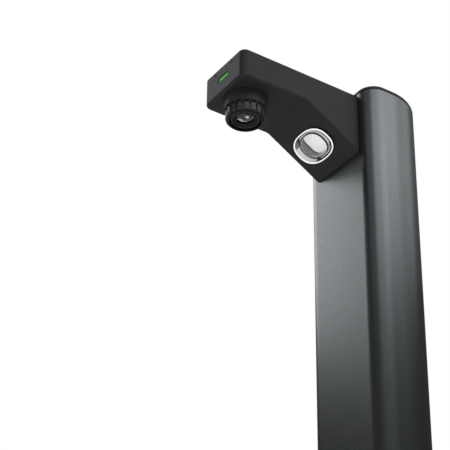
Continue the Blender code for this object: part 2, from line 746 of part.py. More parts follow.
def boss_places():
    """Names and places of the four screw bosses, one in each corner of the base."""
    x = BASE_WIDTH / 2 - 13 * MM
    front, rear = FACE_Y - BASE_FRONT + 12 * MM, FACE_Y + BASE_REAR - 13 * MM
    places = [(-x, front), (x, front), (-x, rear), (x, rear)]
    return list(zip(("front_left", "front_right", "rear_left", "rear_right"), places))


def build_base_shell():
    low = PLATE_BOTTOM
    loops = [(base_outline(0.6 * MM), low), (base_outline(), low + 0.6 * MM)]
    for i in range(4):
        angle = math.radians(30 * i)
        inset = BASE_EDGE_R * (1 - math.cos(angle))
        loops.append((base_outline(inset), BASE_TOP - BASE_EDGE_R * (1 - math.sin(angle))))
    shell = add("base_shell", loft(loops), "head_black")
    roof = BASE_TOP - BASE_WALL
    hollow = [(base_outline(BASE_WALL), low - 5 * MM), (base_outline(BASE_WALL), roof - 3 * MM)]
    hollow += [(base_outline(BASE_WALL + 3 * MM), roof)]
    cut(shell, loft(hollow))
    cut(shell, prism(column_outline(-TRIM_WIDTH - GAP), roof - 8 * MM, BASE_TOP + 5 * MM))
    for _, x in key_places():
        cut(shell, rod(KEY_R + GAP, roof - 5 * MM, BASE_TOP + 5 * MM, 24), (x, KEY_Y, 0))
    for _, (x, y) in boss_places():
        join(shell, rod(BOSS_R, PLATE_TOP + GAP, roof + 1 * MM, 16), (x, y, 0))
        cut(shell, rod(1.6 * MM, 0, roof - 2 * MM, 10), (x, y, 0))
    rear = FACE_Y + BASE_REAR
    for x, half_x, half_z in PORTS.values():
        port = rounded_box(-half_x - GAP, half_x + GAP, -half_z - GAP, half_z + GAP, half_z * 0.5, 3)
        cut(shell, prism(port, -8 * MM, 8 * MM), (x, rear, PORT_Z), ALONG_Y)


def build_base_parts():
    trim = tube(column_outline(-TRIM_WIDTH), column_outline(-GAP), BASE_TOP - 3 * MM, BASE_TOP + 0.8 * MM)
    add("column_trim", trim, "rubber")
    pad_edge, pad_side = base_outline(PAD_INSET + 0.5 * MM), base_outline(PAD_INSET)
    pad = loft([(pad_edge, 0), (pad_side, 0.5 * MM), (pad_side, PAD_THICKNESS)])
    add("base_pad", pad, "rubber")
    plate = add("base_plate", prism(base_outline(BASE_WALL + GAP), PLATE_BOTTOM, PLATE_TOP), "steel")
    head_height, shank_r = 1.6 * MM, 1.2 * MM
    for name, (x, y) in boss_places():
        sink_bolt_hole(plate, x, y, BASE_SCREW_HEAD_R, head_height, shank_r)
        screw = plate_bolt(BASE_SCREW_HEAD_R, head_height, shank_r, PLATE_TOP + 10 * MM)
        add(f"base_screw_{name}", screw, "steel", location=(x, y, 0))
    for x in (-COLUMN_BOLT_X, COLUMN_BOLT_X):
        sink_bolt_hole(plate, x, FACE_Y + COLUMN_STRAIGHT, COLUMN_BOLT_HEAD_R, 2 * MM, 2 * MM)
    for side, sign in (("left", -1), ("right", 1)):
        near, far = sorted((sign * 45 * MM, sign * 84 * MM))
        front, rear = FACE_Y + 26 * MM, FACE_Y + 80 * MM
        weight = box(near, far, front, rear, PLATE_TOP + GAP, PLATE_TOP + 14 * MM)
        add(f"base_weight_{side}", weight, "cast_iron")
    build_ports()


def build_ports():
    rear = FACE_Y + BASE_REAR
    board_z = PORT_Z - 4.6 * MM
    front = FACE_Y + COLUMN_STRAIGHT + COLUMN_HALF_WIDTH + 1.5 * MM
    board = box(-34 * MM, 34 * MM, front, rear - BASE_WALL - 1 * MM, board_z, board_z + 1.2 * MM)
    add("interface_board", board, "circuit_green")
    for name, (x, half_x, half_z) in PORTS.items():
        outer = rounded_box(-half_x, half_x, -half_z, half_z, half_z * 0.45, 3)
        shade = 0.4 * MM
        inner = rounded_box(-half_x + shade, half_x - shade, -half_z + shade, half_z - shade, half_z * 0.3, 3)
        depth = 11 * MM
        loops = [(inner, 2 * MM), (inner, depth), (outer, depth), (outer, 0)]
        socket = loft(loops)
        add(name, socket, "steel", location=(x, rear - depth - 0.4 * MM, PORT_Z), rotation=ALONG_Y)


def build_keys():
    """Four push keys. A flange under the base's top keeps each one in."""
    roof = BASE_TOP - BASE_WALL
    rest, top = roof - 5.5 * MM, BASE_TOP + KEY_PROUD
    flange_r = KEY_R + 1.4 * MM
    profile = [
        (0, top - 0.4 * MM),
        (KEY_R - 0.5 * MM, top),
        (KEY_R, top - 0.5 * MM),
        (KEY_R, roof - GAP),
        (flange_r, roof - GAP),
        (flange_r, roof - 1.5 * MM),
        (2 * MM, roof - 1.5 * MM),
        (2 * MM, rest),
        (0, rest),
    ]
    board_top = rest - KEY_TRAVEL_ROOM - 2.4 * MM
    for side, sign in (("left", -1), ("right", 1)):
        near, far = sorted((sign * (KEY_INNER_X - 8 * MM), sign * (KEY_OUTER_X + 8 * MM)))
        board = box(near, far, KEY_Y - 7 * MM, KEY_Y + 7 * MM, board_top - 1.2 * MM, board_top)
        board = add(f"key_board_{side}", board, "circuit_green")
        for x in (sign * KEY_INNER_X, sign * KEY_OUTER_X):
            join(board, box(-3 * MM, 3 * MM, -3 * MM, 3 * MM, -0.5 * MM, 2.4 * MM), (x, KEY_Y, board_top))
    for name, x in key_places():
        add(f"key_{name}", turned(profile, 20), "head_black", location=(x, KEY_Y, 0))


def main():
    clear_scene()
    build_arm()
    build_end_face_parts()
    build_lamp()
    build_collar()
    build_focus_ring()
    build_lens_cell()
    build_sensor()
    build_arm_fixing()
    build_column()
    build_column_foot()
    build_harness()
    build_base_shell()
    build_base_parts()
    build_keys()


main()
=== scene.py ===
import json
import math

import bmesh
import bpy
from mathutils import Matrix, Vector


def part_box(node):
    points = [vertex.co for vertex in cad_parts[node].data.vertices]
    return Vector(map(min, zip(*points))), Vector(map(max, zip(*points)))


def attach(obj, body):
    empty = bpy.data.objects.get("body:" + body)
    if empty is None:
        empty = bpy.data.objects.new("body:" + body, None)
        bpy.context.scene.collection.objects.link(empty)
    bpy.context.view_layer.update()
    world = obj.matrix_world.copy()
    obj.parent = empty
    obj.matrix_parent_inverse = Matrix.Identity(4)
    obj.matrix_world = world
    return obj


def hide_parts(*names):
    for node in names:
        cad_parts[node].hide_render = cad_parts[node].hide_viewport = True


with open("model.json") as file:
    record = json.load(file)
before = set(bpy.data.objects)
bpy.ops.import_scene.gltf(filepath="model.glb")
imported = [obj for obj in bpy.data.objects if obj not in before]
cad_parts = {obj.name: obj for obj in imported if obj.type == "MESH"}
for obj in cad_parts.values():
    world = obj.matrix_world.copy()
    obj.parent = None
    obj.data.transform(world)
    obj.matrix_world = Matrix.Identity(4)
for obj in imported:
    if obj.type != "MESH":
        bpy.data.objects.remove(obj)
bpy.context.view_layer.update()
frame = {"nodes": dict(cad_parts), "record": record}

# The looks of a desk-top document camera, built around its CAD model. Lengths are in metres, +Z is up, the
# camera arm points along -Y, and places are worked out from the boxes of the CAD nodes.

MM = 0.001
SCRATCH = "scratch"

housing_low, housing_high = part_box("head_housing")
tube_low, tube_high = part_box("column_tube")
cap_low, cap_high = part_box("column_cap")
shell_low, shell_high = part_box("base_shell")
cell_low, cell_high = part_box("lens_cell")
collar_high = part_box("lens_collar")[1]
trim_low, trim_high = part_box("column_trim")
guide_low, guide_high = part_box("status_light_guide")

FACE_Y = tube_low.y
ARM_TOP = housing_high.z
ARM_TIP = housing_low.y
ARM_BACK = housing_high.y
ARM_HALF = housing_high.x
LENS_Y = (cell_low.y + cell_high.y) / 2
COLUMN_HALF = tube_high.x

# Shape values that several sub-parts share
GAP = 0.3 * MM
SOFT_EDGE = 0.35 * MM

# Shape values of the arm
ARM_DEPTH = 23.1 * MM
GUSSET_REACH = 45.6 * MM
GUSSET_DROP = 26.5 * MM
ARM_CORNER_R = 5 * MM
ARM_EDGE_R = 2.2 * MM
ARM_TOP_EDGE_R = 0.5 * MM
ARM_WALL = 2.2 * MM
CREASE_R = 7 * MM
LID_RIM = 1.2 * MM
LID_THICKNESS = 2 * MM
ARM_FLOOR = ARM_TOP - ARM_DEPTH
SLOPE = math.atan2(GUSSET_DROP, GUSSET_REACH)
MIC_X = 10.2 * MM
MIC_DROP = 3.8 * MM
ARM_BOLT_X = 17 * MM
ARM_BOLT_DROP = 16 * MM
ARM_BOLT_HOLE_R = 2.6 * MM
CABLE_HOLE_R = 5 * MM

# Shape values of the status window
WINDOW_Z = (guide_low.z + guide_high.z) / 2
WINDOW_HALF_X = guide_high.x
WINDOW_HALF_Z = (guide_high.z - guide_low.z) / 2
WINDOW_BORDER = 1.5 * MM
WINDOW_DEPTH = 3.2 * MM
WINDOW_FACE_HALF = (4.6 * MM, 0.5 * MM)

# Shape values of the column
COLUMN_FRONT_R = 12.9 * MM
COLUMN_STRAIGHT = 21.5 * MM
COLUMN_WALL = 2.6 * MM

# Shape values of the lamp
LAMP_HALF = (16.9 * MM, 12.7 * MM)
LAMP_OPENING = (10.9 * MM, 9.3 * MM)
LAMP_FLOOR = (11.8 * MM, 9.8 * MM)
LAMP_BEAD_WIDTH = 0.82 * MM
LAMP_BEAD_TOP = 2.8 * MM
LAMP_LIP_WIDTH = 0.75 * MM
LAMP_LIP_TOP = 2.1 * MM
LAMP_DEPTH = 8.6 * MM
LAMP_SQUARENESS = 2.4
LAMP_FLOOR_SQUARENESS = 4
LAMP_DOWN_SLOPE = 28.2 * MM

# Shape values of the lens, in plain millimetres: radii, and heights counted from the arm's top face
COLLAR_R = 15.5
COLLAR_BORE = 14.0
COLLAR_TOP = -21.3
COLLAR_BOTTOM = -32.7
TONGUE_TOP = -17.8
TONGUE_HALF_ANGLE = 30
SLEEVE_R = 13.7
SLEEVE_BORE = 12.6
SLEEVE_TOP = -21.6
GRIP_R = 14.2
GRIP_TOP = -33.9
GRIP_BOTTOM = -39.6
GRIP_PADS = 18
GRIP_GROOVE = 1.25
MOUTH_R = 13.2
MOUTH_BORE = 11.3
MOUTH_BOTTOM = -41.6
CELL_R = 12.3
CELL_TOP = -13.8
CELL_SHOULDER = -38.2
NOSE_R = 10.2
NOSE_FACE = -39.9
STACK_R = 9.7
STACK_FLOOR = -36.4
GLASS_R = 6.4

# Shape values of the base
BASE_CORNER_R = 22 * MM
BASE_EDGE_R = 5 * MM
BASE_WALL = 2.5 * MM
KEY_R = 6 * MM
KEY_DISH = 0.3 * MM
KEY_FLANGE = 1.5 * MM
KEY_STEM_R = 2 * MM
MARK_LINE = 0.42 * MM
MARK_THICKNESS = 0.08 * MM


# ---------------- outlines, as lists of 2-D points


def arc(centre, radius, start, end, steps):
    """Points on an arc from angle start to angle end, in degrees."""
    points = []
    for i in range(steps + 1):
        angle = math.radians(start + (end - start) * i / steps)
        points.append((centre[0] + radius * math.cos(angle), centre[1] + radius * math.sin(angle)))
    return points


def circle(radius, steps):
    return arc((0, 0), radius, 0, 360, steps)[:-1]


def rounded(corners, steps=5):
    """A closed polygon of (a, b, radius) corners, each corner with a radius replaced by a tangent arc."""
    points = []
    for i, (a, b, radius) in enumerate(corners):
        here = Vector((a, b))
        if not radius:
            points.append((a, b))
            continue
        before = (Vector(corners[i - 1][:2]) - here).normalized()
        after = (Vector(corners[(i + 1) % len(corners)][:2]) - here).normalized()
        half = before.angle(after) / 2
        reach = radius / math.tan(half)
        centre = here + (before + after).normalized() * (radius / math.sin(half))
        first = (here + before * reach) - centre
        last = (here + after * reach) - centre
        sweep = first.angle_signed(last)
        for k in range(steps + 1):
            turned_by = first.copy()
            turned_by.rotate(Matrix.Rotation(-sweep * k / steps, 2))
            points.append(tuple(centre + turned_by))
    return points


def rounded_box(x0, x1, y0, y1, radius, steps=8):
    """A rectangle with four equal round corners."""
    points = arc((x1 - radius, y0 + radius), radius, -90, 0, steps)
    points += arc((x1 - radius, y1 - radius), radius, 0, 90, steps)
    points += arc((x0 + radius, y1 - radius), radius, 90, 180, steps)
    points += arc((x0 + radius, y0 + radius), radius, 180, 270, steps)
    return points


def column_outline(inset=0.0):
    """The column's D: flat front, rounded front corners, half-round back."""
    side = COLUMN_HALF - COLUMN_FRONT_R
    corner_y = FACE_Y + COLUMN_FRONT_R
    corner_r = COLUMN_FRONT_R - inset
    points = arc((side, corner_y), corner_r, -90, 0, 14)
    points += arc((0, FACE_Y + COLUMN_STRAIGHT), COLUMN_HALF - inset, 0, 180, 72)
    points += arc((-side, corner_y), corner_r, 180, 270, 14)
    return points


def oval(half_x, half_y, squareness=LAMP_SQUARENESS, steps=120):
    """An oval centred on the origin. At squareness 2 it is an ellipse, and it grows squarer from there."""
    points = []
    for i in range(steps):
        angle = 2 * math.pi * i / steps
        c, s = math.cos(angle), math.sin(angle)
        reach = (abs(c) ** squareness + abs(s) ** squareness) ** (-1 / squareness)
        points.append((half_x * c * reach, half_y * s * reach))
    return points


def part_way(first, second, share):
    """The pair of numbers that lies share of the way from one pair to another."""
    return [a + (b - a) * share for a, b in zip(first, second)]


def lamp_oval(inset):
    """The lamp's outer edge, moved inwards by inset."""
    return oval(LAMP_HALF[0] - inset, LAMP_HALF[1] - inset)


def lamp_edge(outset):
    """The lamp's opening, made larger by outset."""
    return oval(LAMP_OPENING[0] + outset, LAMP_OPENING[1] + outset)


def lamp_trough(share):
    """An oval between the inner side of the lamp's bead (share 0) and its lip (share 1)."""
    bead = [half - LAMP_BEAD_WIDTH for half in LAMP_HALF]
    lip = [half + LAMP_LIP_WIDTH for half in LAMP_OPENING]
    return oval(*part_way(bead, lip, share))


def lamp_well(share, grow):
    """An oval between the lamp's opening (share 0) and its squarer floor (share 1), made larger by grow."""
    x, y = part_way(LAMP_OPENING, LAMP_FLOOR, share)
    return oval(x + grow, y + grow, LAMP_SQUARENESS + (LAMP_FLOOR_SQUARENESS - LAMP_SQUARENESS) * share)


def stadium(half_x, half_z, steps=16):
    """A bar with half-round ends."""
    straight = half_x - half_z
    points = arc((straight, 0), half_z, -90, 90, steps)
    return points + arc((-straight, 0), half_z, 90, 270, steps)


def window_outline(inset):
    """The status window's edge, moved inwards by inset."""
    return stadium(WINDOW_HALF_X - inset, WINDOW_HALF_Z - inset)


def base_outline(inset=0.0):
    """The base's edge, moved inwards by inset."""
    radius = BASE_CORNER_R - inset
    x0, x1 = shell_low.x + inset, shell_high.x - inset
    y0, y1 = shell_low.y + inset, shell_high.y - inset
    return rounded_box(x0, x1, y0, y1, radius, 14)


# ---------------- meshes


def loft(loops, ring=False):
    """A mesh through loops of equal length: [(outline, z), ...]. A ring joins the last loop to the first."""
    bm = bmesh.new()
    rows = [[bm.verts.new((x, y, z)) for x, y in outline] for outline, z in loops]
    pairs = list(zip(rows, rows[1:]))
    if ring:
        pairs.append((rows[-1], rows[0]))
    else:
        bm.faces.new(rows[0])
        bm.faces.new(rows[-1])
    for low, high in pairs:
        for i in range(len(low)):
            j = (i + 1) % len(low)
            bm.faces.new((low[i], low[j], high[j], high[i]))
    bmesh.ops.recalc_face_normals(bm, faces=bm.faces)
    return bm


def prism(outline, z0, z1):
    """An outline run straight up from z0 to z1."""
    return loft([(outline, z0), (outline, z1)])


def turned(profile, steps):
    """A closed profile of (radius, z) turned about Z. Points on the axis are welded."""
    bm = bmesh.new()
    verts = [bm.verts.new((radius, 0, z)) for radius, z in profile]
    edges = [bm.edges.new((verts[i], verts[i - 1])) for i in range(len(verts))]
    turn = {"cent": (0, 0, 0), "axis": (0, 0, 1), "angle": 2 * math.pi, "use_merge": True}
    bmesh.ops.spin(bm, geom=verts + edges, steps=steps, **turn)
    bmesh.ops.remove_doubles(bm, verts=bm.verts, dist=1e-6)
    loose = [e for e in bm.edges if not e.link_faces]
    bmesh.ops.delete(bm, geom=loose, context="EDGES")
    bmesh.ops.recalc_face_normals(bm, faces=bm.faces)
    return bm


def rod(radius, z0, z1, steps=48):
    return prism(circle(radius, steps), z0, z1)


def box(x0, x1, y0, y1, z0, z1):
    return prism([(x0, y0), (x1, y0), (x1, y1), (x0, y1)], z0, z1)


def moved(bm, matrix):
    bmesh.ops.transform(bm, matrix=matrix, verts=bm.verts)
    return bm


def at(x, y, z=0.0):
    return Matrix.Translation((x, y, z))


def along_y(x, y, z):
    """Takes a shape made along +Z to one that runs along +Y from the given place."""
    return Matrix.Translation((x, y, z)) @ Matrix.Rotation(-math.pi / 2, 4, "X")


def middle(node):
    """The middle of a CAD node, seen from above."""
    low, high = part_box(node)
    return (low.x + high.x) / 2, (low.y + high.y) / 2


def lamp_matrix():
    """The lamp's frame: +Z out of the sloping underside, +Y up the slope."""
    y = FACE_Y - GUSSET_REACH + LAMP_DOWN_SLOPE * math.cos(SLOPE)
    z = ARM_FLOOR - LAMP_DOWN_SLOPE * math.sin(SLOPE)
    return Matrix.Translation((0, y, z)) @ Matrix.Rotation(math.pi - SLOPE, 4, "X")


def at_arm(z_mm):
    """Height of a point z_mm millimetres above the arm's top face."""
    return ARM_TOP + z_mm * MM


def lens_part(corners, steps, corner_steps=4):
    """A ring or disc turned about the lens axis.

    The corners are (radius, height above the arm's top face, corner radius) in plain millimetres.
    """
    profile = rounded([(r * MM, at_arm(z), corner * MM) for r, z, corner in corners], corner_steps)
    return on_lens_axis(turned(profile, steps))


def on_lens_axis(bm):
    return moved(bm, at(0, LENS_Y))


def turned_hole(profile, top, steps):
    """A cutter turned about Z from a profile of (radius, height above top), both in plain millimetres."""
    return turned([(r * MM, top + z * MM) for r, z in profile], steps)


# ---------------- pieces


def to_object(name, bm):
    mesh = bpy.data.meshes.new(name)
    bm.to_mesh(mesh)
    bm.free()
    made = bpy.data.objects.new(name, mesh)
    bpy.context.scene.collection.objects.link(made)
    return made


def carved(bm, cutters=(), joined=()):
    """The mesh of bm after exact Booleans with other meshes."""
    target = to_object(SCRATCH, bm)
    helpers = []
    for operation, group in (("UNION", joined), ("DIFFERENCE", cutters)):
        for shape in group:
            helper = to_object(SCRATCH, shape)
            boolean = target.modifiers.new(operation, "BOOLEAN")
            boolean.operation = operation
            boolean.solver = "EXACT"
            boolean.object = helper
            helpers.append(helper)
    result = bmesh.new()
    depsgraph = bpy.context.evaluated_depsgraph_get()
    result.from_object(target, depsgraph)
    for used in helpers + [target]:
        bpy.data.objects.remove(used)
    return result


def piece(name, bm, material, replaces=(), body="stand", sharp=32):
    """One finished piece: smooth but for edges sharper than sharp degrees, riding on its body."""
    made = to_object(name, bm)
    made.data.materials.append(material)
    made.data.shade_smooth()
    made.data.set_sharp_from_angle(angle=math.radians(sharp))
    normals = made.modifiers.new("even_normals", "WEIGHTED_NORMAL")
    normals.keep_sharp = True
    normals.weight = 90
    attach(made, body)
    if replaces:
        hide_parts(*replaces)
    return made


# ---------------- materials


# Every finish by its name
FINISHES = {}


class Tree:
    """Builds one finish, a material of nodes. Inputs take a value or another node's output."""

    def __init__(self, name):
        self.material = bpy.data.materials.new(name)
        FINISHES[name] = self.material
        self.material.use_nodes = True
        self.nodes = self.material.node_tree.nodes
        self.links = self.material.node_tree.links
        self.shader = self.nodes["Principled BSDF"]
        self.place = self.add("ShaderNodeTexCoord").outputs["Object"]

    def join(self, value, socket):
        if isinstance(value, bpy.types.NodeSocket):
            self.links.new(value, socket)
        else:
            socket.default_value = value

    def put(self, node, **inputs):
        """Sets a node's inputs by name, with _ for a space."""
        for key, value in inputs.items():
            self.join(value, node.inputs[key.replace("_", " ")])
        return node

    def add(self, kind, settings=None, **inputs):
        """A new node of a kind, with its settings and inputs."""
        node = self.nodes.new(kind)
        for key, value in (settings or {}).items():
            setattr(node, key, value)
        return self.put(node, **inputs)

    def noise(self, size, detail=3.0, stretch=(1, 1, 1)):
        """Soft noise from 0 to 1 with features of about size metres."""
        scaled = self.add("ShaderNodeMapping", Vector=self.place, Scale=stretch)
        found = self.add("ShaderNodeTexNoise", Vector=scaled.outputs[0], Scale=1 / size, Detail=detail)
        return found.outputs["Fac"]

    def maths(self, operation, first, second):
        node = self.add("ShaderNodeMath", {"operation": operation})
        self.join(first, node.inputs[0])
        self.join(second, node.inputs[1])
        return node.outputs[0]

    def between(self, share, low, high):
        """low to high as share goes from 0.3 to 0.7, the span that noise mostly fills."""
        ranged = self.add("ShaderNodeMapRange", Value=share, From_Min=0.3, From_Max=0.7)
        return self.put(ranged, To_Min=low, To_Max=high).outputs[0]

    def mixed(self, share, first, second):
        """One colour that turns into another as share goes from 0 to 1."""
        mix = self.add("ShaderNodeMix", {"data_type": "RGBA"}, Factor=share)
        colour_sockets = [socket for socket in mix.inputs if socket.type == "RGBA"]
        self.join(first, colour_sockets[0])
        self.join(second, colour_sockets[1])
        return next(socket for socket in mix.outputs if socket.type == "RGBA")

    def shade(self, colour, share, spread):
        """A colour made darker and lighter by spread as share varies."""
        darker, lighter = ((*[c * (1 + change) for c in colour], 1) for change in (-spread, spread))
        return self.mixed(share, darker, lighter)

    def bump(self, height, depth):
        return self.add("ShaderNodeBump", Height=height, Distance=depth).outputs["Normal"]

    def surface(self, **inputs):
        self.put(self.shader, **inputs)
        return self.material


def moulded_plastic(name, colour, roughness=0.5, grain=0.35 * MM, depth=0.02 * MM, gloss=0.28):
    """Spark-eroded moulding: a fine even grain, slight mottling and a little uneven sheen."""
    t = Tree(name)
    mottle = t.noise(9 * MM, 4)
    fine = t.noise(grain, 2)
    tone = t.shade(colour, t.between(mottle, 0, 1), 0.04)
    sheen = t.between(t.noise(22 * MM, 3), roughness - 0.02, roughness + 0.02)
    return t.surface(Base_Color=tone, Roughness=sheen, Specular_IOR_Level=gloss, Normal=t.bump(fine, depth))


def bead_blasted(name, colour, roughness):
    """Anodised extrusion with an even bead-blasted grain."""
    t = Tree(name)
    grain = t.noise(1.1 * MM, 4)
    clouds = t.noise(60 * MM, 2)
    tone = t.shade(colour, t.between(grain, 0, 1), 0.12)
    sheen = t.between(clouds, roughness - 0.01, roughness + 0.01)
    return t.surface(Base_Color=tone, Roughness=sheen, Metallic=1.0, Normal=t.bump(grain, 0.025 * MM))


def metal(name, colour, roughness, depth=0.004 * MM):
    """Bare or plated metal with fine scratches and uneven polish."""
    t = Tree(name)
    scratches = t.noise(0.6 * MM, 5, (1, 0.15, 1))
    sheen = t.between(t.noise(6 * MM, 4), roughness * 0.8, roughness * 1.3)
    tone = t.shade(colour, t.between(scratches, 0, 1), 0.05)
    return t.surface(Base_Color=tone, Roughness=sheen, Metallic=1.0, Normal=t.bump(scratches, depth))


def clear_glass(name, tint=(1, 1, 1)):
    """Polished glass with the faintest haze."""
    t = Tree(name)
    haze = t.between(t.noise(3 * MM, 4), 0.005, 0.03)
    tone = t.shade(tint, t.noise(5 * MM, 2), 0.01)
    return t.surface(Base_Color=tone, Roughness=haze, Transmission_Weight=1.0, IOR=1.52)


def light_panel(name, colour, strength, gloss=0.5):
    """A glowing surface, for lit diffusers and for a painted highlight: a fine prism pattern that fades
    slightly from spot to spot.
    """
    t = Tree(name)
    cells = t.add("ShaderNodeTexVoronoi", Vector=t.place, Scale=1 / (1.1 * MM))
    soft = t.between(cells.outputs["Distance"], 1.0, 0.93)
    glow = t.maths("MULTIPLY", soft, strength)
    tone = t.shade(colour, t.noise(4 * MM), 0.02)
    lit = {"Emission_Color": (*colour, 1), "Emission_Strength": glow}
    return t.surface(Base_Color=tone, Roughness=0.4, Specular_IOR_Level=gloss, **lit)


def circuit_board(name, colour):
    """Solder mask over a lattice of tracks, with small pads showing as gold."""
    t = Tree(name)
    tracks = t.add("ShaderNodeTexBrick", Vector=t.place, Scale=1 / (9 * MM), Mortar_Size=0.03)
    mask = t.shade(colour, t.noise(2 * MM), 0.15)
    t.put(tracks, Color1=mask, Color2=mask, Mortar=(*[c * 2.2 for c in colour], 1))
    pads = t.add("ShaderNodeTexVoronoi", Vector=t.place, Scale=1 / (2.6 * MM))
    spots = t.add("ShaderNodeMapRange", Value=pads.outputs["Distance"], From_Min=0.16, From_Max=0.13)
    tone = t.mixed(spots.outputs[0], tracks.outputs["Color"], (0.62, 0.42, 0.12, 1))
    return t.surface(Base_Color=tone, Roughness=0.4, Metallic=spots.outputs[0])


def sensor_die(name):
    """The image sensor: dark green, red and blue patches under a polished cover."""
    t = Tree(name)
    cells = t.add("ShaderNodeTexChecker", Vector=t.place, Scale=1 / (2.4 * MM))
    t.put(cells, Color1=(0.02, 0.10, 0.04, 1), Color2=(0.10, 0.02, 0.04, 1))
    blue = t.shade((0.02, 0.03, 0.14), t.noise(4 * MM), 0.2)
    stripes = t.add("ShaderNodeTexWave", Vector=t.place, Scale=1 / (14 * MM))
    tone = t.mixed(stripes.outputs["Fac"], cells.outputs["Color"], blue)
    return t.surface(Base_Color=tone, Roughness=0.12, Coat_Weight=1.0)


def rubber(name, colour):
    """Matt rubber with a fine grain."""
    t = Tree(name)
    fine = t.noise(0.5 * MM, 3)
    tone = t.shade(colour, t.between(t.noise(12 * MM, 4), 0, 1), 0.18)
    return t.surface(Base_Color=tone, Roughness=t.between(fine, 0.72, 0.9), Normal=t.bump(fine, 0.03 * MM))


def cast_surface(name, colour):
    """Rough iron as cast."""
    t = Tree(name)
    pits = t.noise(1.4 * MM, 5)
    tone = t.shade(colour, t.between(pits, 0, 1), 0.3)
    sheen = t.between(pits, 0.5, 0.75)
    return t.surface(Base_Color=tone, Roughness=sheen, Metallic=0.7, Normal=t.bump(pits, 0.15 * MM))


HEAD_BLACK = moulded_plastic("head_black", (0.046, 0.046, 0.047), gloss=0.23)
KEY_BLACK = moulded_plastic("key_black", (0.035, 0.035, 0.037), 0.42, 0.25 * MM, 0.01 * MM)
GRIP_BLACK = moulded_plastic("grip_black", (0.056, 0.056, 0.057), 0.36, 0.2 * MM, 0.006 * MM, 0.4)
LENS_BLACK = moulded_plastic("lens_black", (0.012, 0.012, 0.013), 0.34, 0.2 * MM, 0.006 * MM, 0.25)
RING_BLACK = moulded_plastic("ring_black", (0.085, 0.085, 0.088), 0.28, 0.2 * MM, 0.003 * MM, 0.5)
BAFFLE_BLACK = moulded_plastic("baffle_black", (0.006, 0.006, 0.006), 0.6, 0.2 * MM, 0.01 * MM)
ANODISED = bead_blasted("anodised_grey", (0.172, 0.185, 0.189), 0.33)
CHROME = metal("chrome", (0.74, 0.74, 0.75), 0.05, 0.001 * MM)
# A darker copy of chrome for the lamp's deep cup: painted shade, for the darkness that falls in the well
SHADED_WELL_CHROME = metal("well_chrome_painted_shade", (0.20, 0.20, 0.21), 0.14, 0.001 * MM)
STEEL = metal("steel", (0.50, 0.50, 0.51), 0.32)
GLASS = clear_glass("glass")
COATED_GLASS = clear_glass("coated_glass", (0.93, 0.90, 0.94))
PANEL_WHITE = light_panel("lamp_white", (0.95, 0.95, 0.94), 0.62)
# The lamp's bead glows white: a painted highlight round the rim, for the bead is no lamp
BEAD_PAINTED_HIGHLIGHT = light_panel("bead_painted_highlight", (0.95, 0.95, 0.94), 0.85)
WINDOW_GREEN = light_panel("light_green", (0.07, 0.33, 0.05), 0.85, 0.1)
WINDOW_EDGE = light_panel("window_edge_green", (0.008, 0.10, 0.005), 0.35, 0.05)
IRIS_GREY = metal("iris_grey", (0.09, 0.09, 0.095), 0.30)
RUBBER = rubber("rubber", (0.020, 0.020, 0.021))
MARK_WHITE = moulded_plastic("mark_white", (0.72, 0.73, 0.74), 0.5, 0.2 * MM, 0.004 * MM)

# Finishes that only CAD nodes have
circuit_board("circuit_green", (0.012, 0.11, 0.04))
sensor_die("sensor_glass")
cast_surface("cast_iron", (0.09, 0.09, 0.10))
moulded_plastic("cable_black", (0.022, 0.022, 0.022), 0.55, 0.4 * MM)


def finish_cad_nodes():
    """Gives every CAD node the finish that is named after its slot."""
    for entry in frame["record"]["subparts"]:
        node = frame["nodes"][entry["node"]]
        node.data.materials.clear()
        node.data.materials.append(FINISHES[entry["material_slot"]])


# ---------------- camera arm


def arm_solid(inset, top, corner_r, edge_r):
    """The arm's side profile run across its width, its walls moved inwards by inset."""
    tip, back = ARM_TIP + inset, ARM_BACK - inset
    floor = ARM_FLOOR + inset
    crease = FACE_Y - GUSSET_REACH + inset * math.tan(SLOPE / 2)
    heel = floor - (back - crease) * math.tan(SLOPE)
    half = ARM_HALF - inset
    corners = [(back, top, 0), (tip, top, 0), (tip, floor, 0), (crease, floor, CREASE_R), (back, heel, 0)]
    bm = bmesh.new()
    face = bm.faces.new([bm.verts.new((-half, y, z)) for y, z in rounded(corners, 6)])
    grown = bmesh.ops.extrude_face_region(bm, geom=[face])
    new_verts = [v for v in grown["geom"] if isinstance(v, bmesh.types.BMVert)]
    bmesh.ops.translate(bm, verts=new_verts, vec=(2 * half, 0, 0))
    bmesh.ops.recalc_face_normals(bm, faces=bm.faces)
    at_tip = [e for e in bm.edges if all(abs(v.co.y - tip) < 1e-6 for v in e.verts)]
    uprights = [e for e in at_tip if abs(e.verts[0].co.z - e.verts[1].co.z) > 1e-4]
    bevel = {"profile": 0.5, "affect": "EDGES"}
    bmesh.ops.bevel(bm, geom=uprights, offset=corner_r, segments=12, **bevel)
    if edge_r:
        lower = [e for e in bm.edges if joins_wall(e, -1)]
        bmesh.ops.bevel(bm, geom=lower, offset=edge_r, segments=7, **bevel)
        upper = [e for e in bm.edges if joins_wall(e, 1)]
        bmesh.ops.bevel(bm, geom=upper, offset=ARM_TOP_EDGE_R, segments=3, **bevel)
    return bm


def joins_wall(edge, side):
    """True where a face that looks down (side -1) or up (side 1) meets an outer wall, the rear apart."""
    normals = [f.normal for f in edge.link_faces]
    flat = any(n.z * side > 0.5 for n in normals)
    wall = any(abs(n.z) < 0.1 and n.y < 0.9 for n in normals)
    return flat and wall


def lid_outline(inset):
    """The arm's edge seen from above, moved inwards by inset."""
    half = ARM_HALF - inset
    tip, back = ARM_TIP + inset, ARM_BACK - inset
    radius = ARM_CORNER_R - inset
    corners = [(half, tip, radius), (half, back, 0.4 * MM), (-half, back, 0.4 * MM), (-half, tip, radius)]
    return rounded(corners, 8)


